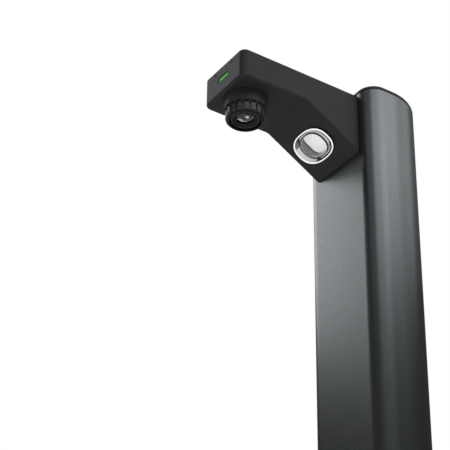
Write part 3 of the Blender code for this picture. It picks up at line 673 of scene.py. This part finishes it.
def fixing_holes(y0, y1):
    """Cutters from y0 to y1 for the cable and the two bolts that pass between the arm and the column."""
    cutters = []
    for x, radius in ((0, CABLE_HOLE_R), (-ARM_BOLT_X, ARM_BOLT_HOLE_R), (ARM_BOLT_X, ARM_BOLT_HOLE_R)):
        hole = rod(radius, 0, y1 - y0)
        cutters.append(moved(hole, along_y(x, y0, ARM_TOP - ARM_BOLT_DROP)))
    return cutters


def microphone_hole(x):
    """A cutter for the small countersunk hole in front of a microphone."""
    hole = turned_hole([(0, -4), (0.75, -4), (0.75, -0.5), (1.05, 0.1), (0, 0.1)], 0, 32)
    into_arm = Matrix.Rotation(math.pi, 4, "X")
    return moved(hole, along_y(x, ARM_TIP, ARM_TOP - MIC_DROP) @ into_arm)


def build_arm():
    """The arm's shell: hollow, open at the top for its lid, with holes for everything that it carries."""
    above = ARM_TOP + 5 * MM
    seat = ARM_TOP - LID_THICKNESS - GAP
    neck = rod(collar_high.x + GAP / 2, ARM_FLOOR - 5 * MM, ARM_FLOOR + 5 * MM, 96)
    lamp = prism(lamp_oval(1.2 * MM), -6 * MM, 6 * MM)
    window = prism(window_outline(-GAP / 2), -4 * MM, 4 * MM)
    cutters = [
        arm_solid(ARM_WALL, above, ARM_CORNER_R - ARM_WALL, 0),
        prism(lid_outline(LID_RIM), seat, above),
        on_lens_axis(neck),
        moved(lamp, lamp_matrix()),
        moved(window, along_y(0, ARM_TIP, WINDOW_Z)),
        microphone_hole(-MIC_X),
        microphone_hole(MIC_X),
    ]
    cutters += fixing_holes(ARM_BACK - 6 * MM, ARM_BACK + 6 * MM)
    shell = carved(arm_solid(0, ARM_TOP, ARM_CORNER_R, ARM_EDGE_R), cutters)
    piece("arm_shell", shell, HEAD_BLACK, ["head_housing"])
    build_lid(seat)


def build_lid(seat):
    """The lid, sunk into the arm's rim, with its two countersunk screws."""
    edge = lid_outline(LID_RIM + GAP)
    inner = lid_outline(LID_RIM + GAP + SOFT_EDGE)
    lid = loft([(edge, seat + GAP), (edge, ARM_TOP - SOFT_EDGE), (inner, ARM_TOP)])
    countersink = [(0, -3), (1.3, -3), (1.3, -1.4), (2.6, -1.4), (2.6, -0.2), (2.9, 0.1), (2.9, 1), (0, 1)]
    holes = []
    for side in ("left", "right"):
        x, y = middle(f"lid_screw_{side}")
        holes.append(moved(turned_hole(countersink, ARM_TOP, 40), at(x, y)))
        head = screw(x, y, ARM_TOP - 0.25 * MM)
        piece(f"lid_screw_head_{side}", head, STEEL, [f"lid_screw_{side}"])
    piece("arm_lid", carved(lid, holes), HEAD_BLACK, ["head_top_cover"])


def screw(x, y, top):
    """A countersunk screw with a cross recess, its head's top at the given height."""
    shape = [(0, 0, 0), (0, -8, 0), (1.0, -8, 0), (1.0, -1.1, 0), (2.2, -0.5, 0), (2.3, 0, 0.2)]
    profile = rounded([(r * MM, top + z * MM, c * MM) for r, z, c in shape], 3)
    slots = []
    for angle in (45, 135):
        slot = box(-1.4 * MM, 1.4 * MM, -0.28 * MM, 0.28 * MM, top - 0.9 * MM, top + 1 * MM)
        slots.append(moved(slot, Matrix.Rotation(math.radians(angle), 4, "Z")))
    return moved(carved(turned(profile, 40), slots), at(x, y))


def build_status_window():
    """A bright green bar in a dark green border, flush with the arm's end."""
    place = along_y(0, ARM_TIP, WINDOW_Z)
    outer, soft, inner = (window_outline(inset) for inset in (0, 0.2 * MM, WINDOW_BORDER))
    edge = [(outer, WINDOW_DEPTH), (outer, 0.25 * MM), (soft, 0.05 * MM)]
    edge += [(inner, 0.2 * MM), (inner, WINDOW_DEPTH)]
    piece("status_window_border", moved(loft(edge, ring=True), place), WINDOW_EDGE)
    core = window_outline(WINDOW_BORDER + 0.02 * MM)
    light = loft([(core, WINDOW_DEPTH), (core, 0.3 * MM), (stadium(*WINDOW_FACE_HALF), 0.1 * MM)])
    piece("status_window", moved(light, place), WINDOW_GREEN, ["status_light_guide"])


# ---------------- lamp


def lamp_ring(shape):
    """A ring through (outline, height above the slope in millimetres), put in place on the slope."""
    return moved(loft([(outline, z * MM) for outline, z in shape], ring=True), lamp_matrix())


def build_lamp_rim():
    """A bead that glows white as a painted highlight, on a black gasket that paints the dark line of shade
    round it, a polished trough and a black lip that paints the shadow at the opening, with heights in plain
    millimetres.
    """
    crest, top = LAMP_BEAD_TOP / MM, LAMP_LIP_TOP / MM
    root, foot, seam = 0.3, -1.9, crest - 0.95
    # A black rubber gasket under the bead: its black paints the dark line of shade and dark reflection round
    # the rim
    gasket = [(0.1, root), (0.1, seam), (0.8, seam), (0.8, root)]
    gasket = [(lamp_oval(inset * MM), z) for inset, z in gasket]
    piece("lamp_gasket_painted_shade", lamp_ring(gasket), RUBBER)
    # The bead glows white: a painted highlight along the lamp's rim
    bead = [(0, seam), (0, crest - 0.45), (0.05, crest - 0.25), (0.16, crest - 0.08), (0.3, crest)]
    bead += [(0.5, crest), (0.64, crest - 0.08), (0.75, crest - 0.25), (0.8, crest - 0.45), (0.8, seam)]
    bead = [(lamp_oval(inset * MM), z) for inset, z in bead]
    piece("lamp_bead", lamp_ring(bead), BEAD_PAINTED_HIGHLIGHT, sharp=50)
    trough = [(0, root), (0, seam - 0.05), (0.4, 1.0), (0.8, 0.2), (0.9, 0.2)]
    trough += [(0.97, 0.45), (1, 0.9), (1, foot)]
    trough = [(lamp_trough(share), z) for share, z in trough]
    trough += [(lamp_oval(1.5 * MM), foot), (lamp_oval(1.5 * MM), root)]
    piece("lamp_trough", lamp_ring(trough), CHROME, ["lamp_bezel"], sharp=45)
    # A black rubber lip at the opening: its black paints the shadow in the gap between the rim and the well
    lip = [(0.72, 0), (0.72, top - 0.15), (0.6, top), (0.42, top), (0.36, top - 0.1), (0.36, 0)]
    lip = [(lamp_edge(outset * MM), z) for outset, z in lip]
    piece("lamp_lip_painted_shadow", lamp_ring(lip), RUBBER)


def build_lamp_well():
    """The polished cup with a shallow groove round it, the lit panel behind it and the cover in front."""
    mouth = LAMP_LIP_TOP / MM
    depth = mouth + LAMP_DEPTH / MM
    shape = [(0, 0.1), (0.02, 0), (0.38, 0), (0.42, 0.1), (0.48, 0.1), (0.52, 0), (0.9, 0), (1, -0.1)]
    shape += [(1, 1.1), (0.5, 1.1), (0.4, 0.32), (0, 0.32)]
    cup = [(lamp_well(share, grow * MM), mouth - depth * share) for share, grow in shape]
    # The cup's darker chrome is painted shade in the well
    piece("lamp_cup", lamp_ring(cup), SHADED_WELL_CHROME, ["lamp_reflector"])
    rear = -LAMP_DEPTH + 0.2 * MM
    rim, face = lamp_well(1, -0.6 * MM), lamp_well(1, -0.85 * MM)
    cover = loft([(rim, rear), (rim, rear + 0.55 * MM), (face, rear + 0.8 * MM)])
    piece("lamp_cover", moved(cover, lamp_matrix()), GLASS, ["lamp_lens"])
    front = -LAMP_DEPTH - GAP
    rim, face = lamp_well(1, 0.8 * MM), lamp_well(1, 0.7 * MM)
    panel = moved(loft([(rim, front - 0.8 * MM), (rim, front - 0.1 * MM), (face, front)]), lamp_matrix())
    piece("lamp_panel", panel, PANEL_WHITE, ["lamp_emitter"])


# ---------------- lens


def build_collar():
    """The smooth fixed collar, its top keyed by a tongue."""
    corners = [(COLLAR_BORE, COLLAR_TOP, 0), (COLLAR_R, COLLAR_TOP, 0)]
    corners += [(COLLAR_R, COLLAR_BOTTOM, 0.5), (COLLAR_BORE, COLLAR_BOTTOM, 0.2)]
    tongue = arc((0, 0), COLLAR_R * MM, -TONGUE_HALF_ANGLE, TONGUE_HALF_ANGLE, 16)
    tongue += arc((0, 0), COLLAR_BORE * MM, TONGUE_HALF_ANGLE, -TONGUE_HALF_ANGLE, 16)
    tongue = on_lens_axis(prism(tongue, at_arm(COLLAR_TOP - 1), at_arm(TONGUE_TOP)))
    ring = carved(lens_part(corners, 120), joined=[tongue])
    piece("collar", ring, HEAD_BLACK, ["lens_collar"])


def grip_outline(radius, share):
    """A circle of radius millimetres with GRIP_PADS grooves, each share of its full depth."""
    half_groove, side = 0.125, 0.04
    samples = [-half_groove - side, -half_groove - side / 2, -half_groove, 0.0]
    samples += [half_groove, half_groove + side / 2, half_groove + side]
    samples += [0.2 + 0.1 * k for k in range(7)]
    points = []
    pitch = 2 * math.pi / GRIP_PADS
    for pad in range(GRIP_PADS):
        for phase in samples:
            inside = min(1.0, max(0.0, (half_groove + side - abs(phase)) / side))
            depth = inside * inside * (3 - 2 * inside)
            angle = (pad + phase) * pitch
            r = radius - GRIP_GROOVE * share * depth
            points.append((r * MM * math.cos(angle), r * MM * math.sin(angle)))
    return points


def build_focus_ring():
    """The ribbed grip with its sleeve up inside the collar, and the plain black ring round its mouth.

    The profile is (radius, height, share of the grooves). The neck above the pads is cut in behind each
    pad and stands out between them.
    """
    neck, teeth, rounding = GRIP_R - 1.6, -1.6, 0.9
    profile = [(SLEEVE_BORE, SLEEVE_TOP, 0), (SLEEVE_R, SLEEVE_TOP, 0), (SLEEVE_R, GRIP_TOP + 1.1, 0)]
    profile += [(neck, GRIP_TOP + 0.9, teeth), (neck, GRIP_TOP + 0.1, teeth)]
    profile += [(GRIP_R - 0.3, GRIP_TOP, 0.9), (GRIP_R - 0.08, GRIP_TOP - 0.1, 1)]
    profile += [(GRIP_R, GRIP_TOP - 0.35, 1), (GRIP_R, GRIP_TOP - 2.9, 1), (GRIP_R, GRIP_BOTTOM, 1)]
    steps = 5
    for i in range(1, steps + 1):
        angle = math.radians(90 * i / steps)
        radius = MOUTH_R + (GRIP_R - MOUTH_R) * math.cos(angle)
        profile.append((radius, GRIP_BOTTOM - rounding * math.sin(angle), 1 - (i / steps) ** 2))
    profile += [(MOUTH_R - 0.1, GRIP_BOTTOM, 0), (SLEEVE_BORE, GRIP_BOTTOM, 0)]
    loops = [(grip_outline(r, share), at_arm(z)) for r, z, share in profile]
    grip = on_lens_axis(loft(loops, ring=True))
    piece("focus_grip", grip, GRIP_BLACK, ["focus_ring"], "focus_ring", 38)
    mouth = [(MOUTH_R - 0.15, GRIP_BOTTOM, 0), (MOUTH_R - 0.1, MOUTH_BOTTOM, 0.9)]
    mouth += [(MOUTH_BORE, MOUTH_BOTTOM, 0.3), (MOUTH_BORE, GRIP_BOTTOM, 0)]
    piece("focus_mouth", lens_part(mouth, 120, 6), LENS_BLACK, body="focus_ring")


def build_lens_cell():
    """The sliding cell: a nose, then baffle steps in to the front glass, with the iris behind it."""
    thread, glass_bore, step_width, step_rise = 10.8, 6.7, 2.5, 0.9
    profile = [(thread, CELL_TOP, 0), (CELL_R, CELL_TOP, 0.2), (CELL_R, CELL_SHOULDER, 0.3)]
    profile += [(NOSE_R, CELL_SHOULDER, 0), (NOSE_R, NOSE_FACE, 0), (NOSE_R - 0.6, NOSE_FACE, 0)]
    steps = 6
    for i in range(steps):
        share = i / steps
        r, z = NOSE_R - 0.7 - step_width * share, NOSE_FACE + step_rise * share
        profile += [(r, z, 0), (r - 0.25, z, 0.05)]
    profile += [(glass_bore, NOSE_FACE + 1, 0), (glass_bore, STACK_FLOOR, 0), (STACK_R, STACK_FLOOR, 0)]
    profile += [(STACK_R, CELL_TOP - 4.9, 0), (thread, CELL_TOP - 4.9, 0)]
    piece("cell_barrel", lens_part(profile, 120, 3), LENS_BLACK, ["lens_cell"], "lens_cell")
    bead = [(NOSE_R - 0.65, NOSE_FACE, 0), (NOSE_R, NOSE_FACE, 0)]
    bead += [(NOSE_R, NOSE_FACE - 0.5, 0.28), (NOSE_R - 0.7, NOSE_FACE - 0.5, 0.28)]
    piece("cell_bead", lens_part(bead, 120, 6), RING_BLACK, body="lens_cell")
    front, rear = STACK_FLOOR + 0.3, STACK_FLOOR + 1.7
    stop, outer = 5.0, STACK_R - 0.4
    iris = [(stop, rear, 0), (outer, rear, 0), (outer, front, 0.1)]
    iris += [(GLASS_R - 0.1, front, 0), (stop, front + 1.1, 0.1)]
    piece("iris", lens_part(iris, 96), IRIS_GREY, ["aperture_ring"], "lens_cell")
    build_front_glass()


def build_front_glass():
    """A thick front element, domed outwards and hollow behind."""
    rim, dome = STACK_FLOOR - 1.5, 1.3
    steps = 10
    shares = [k / steps for k in range(steps + 1)]
    profile = [(GLASS_R * share, rim - dome * (1 - share ** 2), 0) for share in shares]
    profile += [(GLASS_R, rim + 1, 0), (GLASS_R / 2, rim + 0.7, 0), (0, rim + 0.6, 0)]
    piece("front_glass", lens_part(profile, 96), COATED_GLASS, ["front_lens"], "lens_cell", 50)


# ---------------- column


def build_column():
    """The D-section tube, its top edge softened, with its cap and its seal."""
    low, high = tube_low.z, tube_high.z
    outside, lip, inside = (column_outline(inset) for inset in (0, SOFT_EDGE, COLUMN_WALL))
    loops = [(outside, low), (outside, high - SOFT_EDGE), (lip, high), (inside, high), (inside, low)]
    shell = carved(loft(loops, ring=True), fixing_holes(FACE_Y - 3 * MM, FACE_Y + 8 * MM))
    piece("column_shell", shell, ANODISED, ["column_tube"])
    build_column_cap()
    build_column_trim()


def build_column_cap():
    """The moulded cap: a softened edge, a shallow line near its rim, and a plug that enters the tube."""
    low, high = tube_high.z + GAP, cap_high.z
    loops = [(column_outline(0.15 * MM), low), (column_outline(), low + 0.2 * MM)]
    edge = [(0, 0.9), (0.12, 0.45), (0.45, 0.12), (0.9, 0), (3.0, 0), (3.2, 0.25), (3.5, 0.25), (3.7, 0)]
    loops += [(column_outline(inset * MM), high - drop * MM) for inset, drop in edge]
    root = low + 0.6 * MM
    outer, inner = column_outline(COLUMN_WALL + GAP), column_outline(COLUMN_WALL + 2.3 * MM)
    plug = loft([(outer, cap_low.z), (outer, root), (inner, root), (inner, cap_low.z)], ring=True)
    piece("column_top", carved(loft(loops), joined=[plug]), HEAD_BLACK, ["column_cap"])


def build_column_trim():
    """The rubber ring that seals the column where it enters the base."""
    low, high = trim_low.z, trim_high.z
    width = trim_high.x - COLUMN_HALF
    loops = [(column_outline(-outset), z) for outset, z in (
        (width, low),
        (width, high - 0.5 * MM),
        (width - 0.15 * MM, high - 0.15 * MM),
        (width - 0.5 * MM, high),
        (0.8 * MM, high),
        (0.4 * MM, high - 0.2 * MM),
        (GAP, high - 0.7 * MM),
        (GAP, low),
    )]
    piece("column_seal", loft(loops, ring=True), RUBBER, ["column_trim"])


# ---------------- base


def build_base():
    """The base's cover: hollow, with openings for the column, the keys and the sockets."""
    low, high = shell_low.z, shell_high.z
    loops = [(base_outline(0.7 * MM), low), (base_outline(0.2 * MM), low + 0.2 * MM)]
    loops.append((base_outline(), low + 0.7 * MM))
    steps = 9
    for i in range(steps + 1):
        angle = math.radians(90 * i / steps)
        inset = BASE_EDGE_R * (1 - math.cos(angle))
        loops.append((base_outline(inset), high - BASE_EDGE_R * (1 - math.sin(angle))))
    roof, chamfer = high - BASE_WALL, 3 * MM
    hollow = [(base_outline(BASE_WALL), low - 5 * MM), (base_outline(BASE_WALL), roof - chamfer)]
    hollow.append((base_outline(BASE_WALL + chamfer), roof))
    opening = column_outline(COLUMN_HALF - trim_high.x - 0.2 * MM)
    cutters = [loft(hollow), prism(opening, roof - 8 * MM, high + 5 * MM)]
    bore, rim = KEY_R / MM + 0.25, KEY_R / MM + 0.7
    for name in KEY_MARKS:
        x, y = middle(f"key_{name}")
        well = turned_hole([(0, -5), (bore, -5), (bore, -0.35), (rim, 0.05), (rim, 3), (0, 3)], high, 64)
        cutters.append(moved(well, at(x, y)))
    cutters += [port_cutter(name) for name in ("usb_c_socket", "usb_a_socket")]
    piece("base_cover", carved(loft(loops), cutters), HEAD_BLACK, ["base_shell"])


def port_cutter(name):
    """An opening for a socket in the base's rear wall, flared at its mouth."""
    low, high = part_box(name)
    half_x, half_z = (high.x - low.x) / 2, (high.z - low.z) / 2
    place = along_y(middle(name)[0], shell_high.y, (low.z + high.z) / 2)
    outlines = []
    for grow, roundness in ((GAP, 0.5), (0.8 * MM, 0.6)):
        x, z = half_x + grow, half_z + grow
        outlines.append(rounded_box(-x, x, -z, z, half_z * roundness))
    straight, flare = outlines
    loops = [(straight, -8 * MM), (straight, -0.5 * MM), (flare, 0.1 * MM), (flare, 4 * MM)]
    return moved(loft(loops), place)


def build_keys():
    """Four push keys, each a shallow dish with a mark inlaid in it."""
    under = shell_high.z - BASE_WALL - GAP
    for name, draw_mark in KEY_MARKS.items():
        low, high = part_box(f"key_{name}")
        x, y = middle(f"key_{name}")
        top, flange_r = high.z, high.x - x
        flange = under + GAP - KEY_FLANGE
        profile = rounded([
            (0, top - KEY_DISH, 0),
            (KEY_R - 1.5 * MM, top - KEY_DISH, 0.6 * MM),
            (KEY_R - 0.9 * MM, top, 0.25 * MM),
            (KEY_R, top, 0.45 * MM),
            (KEY_R, under, 0),
            (flange_r, under, 0),
            (flange_r, flange, 0),
            (KEY_STEM_R, flange, 0),
            (KEY_STEM_R, low.z, 0),
            (0, low.z, 0),
        ], 4)
        key = moved(turned(profile, 72), at(x, y))
        piece(f"key_cap_{name}", key, KEY_BLACK, [f"key_{name}"], f"key_{name}")
        mark = moved(draw_mark(), at(x, y, top - KEY_DISH - 0.02 * MM))
        piece(f"key_mark_{name}", mark, MARK_WHITE, body=f"key_{name}")


def bar(length, width, x, y, angle):
    """A flat bar of a mark, with round ends."""
    outline = stadium(length / 2, width / 2, 6)
    return moved(prism(outline, 0, MARK_THICKNESS), at(x, y) @ Matrix.Rotation(math.radians(angle), 4, "Z"))


def band(radius, width, start, end):
    """A flat curved band of a mark; a whole turn makes a closed ring."""
    outer, inner = radius + width / 2, radius - width / 2
    if end - start >= 360:
        a, b = circle(outer, 40), circle(inner, 40)
        return loft([(a, 0), (a, MARK_THICKNESS), (b, MARK_THICKNESS), (b, 0)], ring=True)
    outline = arc((0, 0), outer, start, end, 24) + arc((0, 0), inner, end, start, 24)
    return prism(outline, 0, MARK_THICKNESS)


def gathered(shapes):
    """Several separate shapes in one mesh."""
    whole = bmesh.new()
    for shape in shapes:
        scratch = bpy.data.meshes.new(SCRATCH)
        shape.to_mesh(scratch)
        shape.free()
        whole.from_mesh(scratch)
        bpy.data.meshes.remove(scratch)
    return whole


def power_mark():
    """An open ring with a stroke in its gap."""
    return gathered([band(1.9 * MM, MARK_LINE, 120, 420), bar(2.0 * MM, MARK_LINE, 0, 1.6 * MM, 90)])


def lamp_mark():
    """A small ring with eight rays."""
    rays = []
    for i in range(8):
        angle = 45 * i
        x, y = math.cos(math.radians(angle)), math.sin(math.radians(angle))
        rays.append(bar(0.9 * MM, MARK_LINE * 0.8, 2.3 * MM * x, 2.3 * MM * y, angle))
    return gathered([band(1.1 * MM, MARK_LINE, 0, 360)] + rays)


def focus_mark():
    """The four corners of a frame round a small ring."""
    far, end = 2.2 * MM, 1.0 * MM
    near = far - MARK_LINE
    outline = [(end, far, 0), (end, near, 0), (near, near, 0)]
    outline += [(near, end, 0), (far, end, 0), (far, far, 0.5 * MM)]
    corners = []
    for quarter in range(4):
        corner = prism(rounded(outline), 0, MARK_THICKNESS)
        corners.append(moved(corner, Matrix.Rotation(math.pi / 2 * quarter, 4, "Z")))
    return gathered(corners + [band(0.55 * MM, MARK_LINE * 0.8, 0, 360)])


def capture_mark():
    """A ring round a solid disc."""
    return gathered([band(2.1 * MM, MARK_LINE, 0, 360), prism(circle(1.15 * MM, 40), 0, MARK_THICKNESS)])


KEY_MARKS = {"power": power_mark, "lamp": lamp_mark, "focus": focus_mark, "capture": capture_mark}


def build_ports():
    """The contact tongues inside the two sockets: each a share of its socket's size, lifted by a share."""
    for name, share_x, share_z, lift in (("usb_c_socket", 0.68, 0.28, 0), ("usb_a_socket", 0.78, 0.26, 0.35)):
        low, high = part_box(name)
        half_x, half_z = (high.x - low.x) / 2, (high.z - low.z) / 2
        x, z = half_x * share_x, half_z * share_z
        outline = rounded_box(-x, x, -z, z, 0.2 * MM, 3)
        height = (low.z + high.z) / 2 + lift * half_z
        tongue = loft([(outline, 2.4 * MM), (outline, 9.6 * MM)])
        tongue = moved(tongue, along_y(middle(name)[0], low.y, height))
        piece(name.replace("socket", "tongue"), tongue, BAFFLE_BLACK)


# ---------------- studio

# The camera. Its aim counts from the arm's root, at the height of the arm's top.
VIEW_AZIMUTH = math.radians(56.98)
VIEW_ELEVATION = math.radians(-32.30)
VIEW_ROLL = math.radians(0.975)
VIEW_DISTANCE = 1204.1 * MM
VIEW_LENS = 129.87
VIEW_AIM = Vector((-82.3, -43.7, -71.4)) * MM

# Softboxes: name, azimuth in degrees from the way the arm points towards +X, distance, rise, size, brightness
SOFTBOXES = [
    ("left", -110, 0.50, 0.34, (0.36, 0.30), 1.2),
    ("front_left", -68, 0.50, 0.35, (0.36, 0.39), 2.3),
]

# An arc of adjoining softboxes: azimuth and brightness of each, then distance, rise and size of them all
ARC = [(20, 0.3), (64, 1.55), (108, 2.1), (152, 1.0), (196, 0.1)]
ARC_BOX = (0.60, 0.385, (0.49, 0.26))

# A small light for the front glass alone, placed from the lens
GLINT_PLACE = Vector((-0.471, 0.461, -0.752)) * 0.3
GLINT_SIZE = (0.07, 0.10)
GLINT_BRIGHTNESS = 5

# The world, as each kind of ray finds it
WORLD_SEEN = (1, 1, 1, 1)
WORLD_MIRRORED = (0.06, 0.062, 0.065, 1)
WORLD_FILL = (0.25, 0.25, 0.25, 1)

# The floor: distances and glow from near to far, for the camera and for a painted reflection
# that only glossy rays find, which is unlit round a patch on the left
FLOOR_R = 6.0
SWEEP_SPAN, SWEEP_GLOW = (0.4, 3.0), (0.5, 1.0)
UNLIT_PATCH_PLACE, UNLIT_PATCH_SPAN, PAINTED_REFLECTION_GLOW = (-0.6, 0.15, 0), (0.38, 0.62), (0, 0.38)


def build_camera():
    """Looks up at the arm from below and to the right of the front."""
    a, e = VIEW_AZIMUTH, VIEW_ELEVATION
    back = Vector((math.sin(a) * math.cos(e), -math.cos(a) * math.cos(e), math.sin(e)))
    level = Vector((math.cos(a), math.sin(a), 0))
    right = level * math.cos(VIEW_ROLL) + back.cross(level) * math.sin(VIEW_ROLL)
    up = back.cross(right)
    data = bpy.data.cameras.new("camera")
    data.lens = VIEW_LENS
    data.clip_start = 0.01
    camera = bpy.data.objects.new("camera", data)
    matrix = Matrix((right, up, back)).transposed().to_4x4()
    matrix.translation = Vector((0, FACE_Y, ARM_TOP)) + VIEW_AIM + back * VIEW_DISTANCE
    camera.matrix_world = matrix
    bpy.context.scene.collection.objects.link(camera)
    bpy.context.scene.camera = camera


def softbox(name, place, target, size, brightness):
    """An area light that faces its target, as bright as a surface of that radiance."""
    data = bpy.data.lights.new(name, "AREA")
    data.shape = "RECTANGLE"
    data.size, data.size_y = size
    data.energy = brightness * math.pi * size[0] * size[1]
    light = bpy.data.objects.new(name, data)
    light.location = place
    light.rotation_mode = "QUATERNION"
    light.rotation_quaternion = (Vector(place) - Vector(target)).to_track_quat("Z", "Y")
    light.visible_camera = False
    bpy.context.scene.collection.objects.link(light)
    return light


def build_lights():
    """Softboxes round the head: one mirrored by the column's flat front, an arc of them by its round side."""
    head = Vector((0, FACE_Y, ARM_TOP - 40 * MM))
    arc_boxes = [(f"arc_{azimuth}", azimuth, *ARC_BOX, brightness) for azimuth, brightness in ARC]
    for name, azimuth, away, rise, size, brightness in SOFTBOXES + arc_boxes:
        angle = math.radians(azimuth)
        place = head + Vector((away * math.sin(angle), -away * math.cos(angle), rise))
        softbox(name, place, head, size, brightness)
    lens = Vector((0, LENS_Y, ARM_TOP - 39 * MM))
    glint = softbox("lens_glint", lens + GLINT_PLACE, lens, GLINT_SIZE, GLINT_BRIGHTNESS)
    glint.data.shape = "ELLIPSE"
    only_lens = bpy.data.collections.new("lit_by_glint")
    only_lens.objects.link(bpy.data.objects["front_glass"])
    glint.light_linking.receiver_collection = only_lens


def build_world():
    """White to the camera, dark to polished parts, and a soft grey to everything else that it lights."""
    world = bpy.data.worlds.new("studio")
    world.use_nodes = True
    bpy.context.scene.world = world
    nodes, links = world.node_tree.nodes, world.node_tree.links
    nodes.clear()
    path = nodes.new("ShaderNodeLightPath")
    found = nodes.new("ShaderNodeBackground")
    found.inputs["Color"].default_value = WORLD_FILL
    for ray, colour in (("Is Glossy Ray", WORLD_MIRRORED), ("Is Camera Ray", WORLD_SEEN)):
        other = nodes.new("ShaderNodeBackground")
        other.inputs["Color"].default_value = colour
        mix = nodes.new("ShaderNodeMixShader")
        links.new(path.outputs[ray], mix.inputs[0])
        links.new(found.outputs[0], mix.inputs[1])
        links.new(other.outputs[0], mix.inputs[2])
        found = mix
    output = nodes.new("ShaderNodeOutputWorld")
    links.new(found.outputs[0], output.inputs[0])


def by_distance(t, position, place, span, values):
    """A value that changes with the distance from a place."""
    reach = t.add("ShaderNodeVectorMath", {"operation": "DISTANCE"}, Vector=position)
    reach.inputs[1].default_value = place
    ranged = t.add("ShaderNodeMapRange", Value=reach.outputs["Value"], From_Min=span[0], From_Max=span[1])
    return t.put(ranged, To_Min=values[0], To_Max=values[1]).outputs[0]


def build_floor():
    """A pale floor that is clear from below, so that the object can be seen from under it.

    To the camera it brightens with distance, until it meets the white behind it without a line. To glossy
    rays alone it glows as a painted reflection, which polished parts show as bright, but for an unlit patch
    on the left, behind the lamp as seen from the right.
    """
    floor = to_object("floor", prism(circle(FLOOR_R, 96), -0.02, 0))
    t = Tree("floor")
    tone = t.shade((0.82, 0.82, 0.82), t.noise(0.4, 3), 0.01)
    t.surface(Base_Color=tone, Roughness=0.7, Specular_IOR_Level=0.1)
    path = t.add("ShaderNodeLightPath")
    side = t.add("ShaderNodeNewGeometry")
    sweep = by_distance(t, side.outputs["Position"], (0, 0, 0), SWEEP_SPAN, SWEEP_GLOW)
    # Glow that only glossy rays find: a painted reflection, unlit round a patch on the left
    painted_reflection = by_distance(t, side.outputs["Position"], UNLIT_PATCH_PLACE, UNLIT_PATCH_SPAN, PAINTED_REFLECTION_GLOW)
    seen = t.maths("MULTIPLY", path.outputs["Is Camera Ray"], sweep)
    mirrored = t.maths("MULTIPLY", path.outputs["Is Glossy Ray"], painted_reflection)
    t.surface(Emission_Color=(1, 1, 1, 1), Emission_Strength=t.maths("ADD", seen, mirrored))
    clear = t.add("ShaderNodeBsdfTransparent")
    viewer = t.add("ShaderNodeSeparateXYZ", Vector=side.outputs["Incoming"])
    mix = t.add("ShaderNodeMixShader", Fac=t.maths("LESS_THAN", viewer.outputs["Z"], 0.0))
    t.join(t.shader.outputs[0], mix.inputs[1])
    t.join(clear.outputs[0], mix.inputs[2])
    t.join(mix.outputs[0], t.nodes["Material Output"].inputs["Surface"])
    floor.data.materials.append(t.material)


finish_cad_nodes()
build_arm()
build_status_window()
build_lamp_rim()
build_lamp_well()
build_collar()
build_focus_ring()
build_lens_cell()
build_column()
build_base()
build_keys()
build_ports()
build_camera()
build_lights()
build_world()
build_floor()
bpy.context.scene.view_settings.view_transform = "Standard"
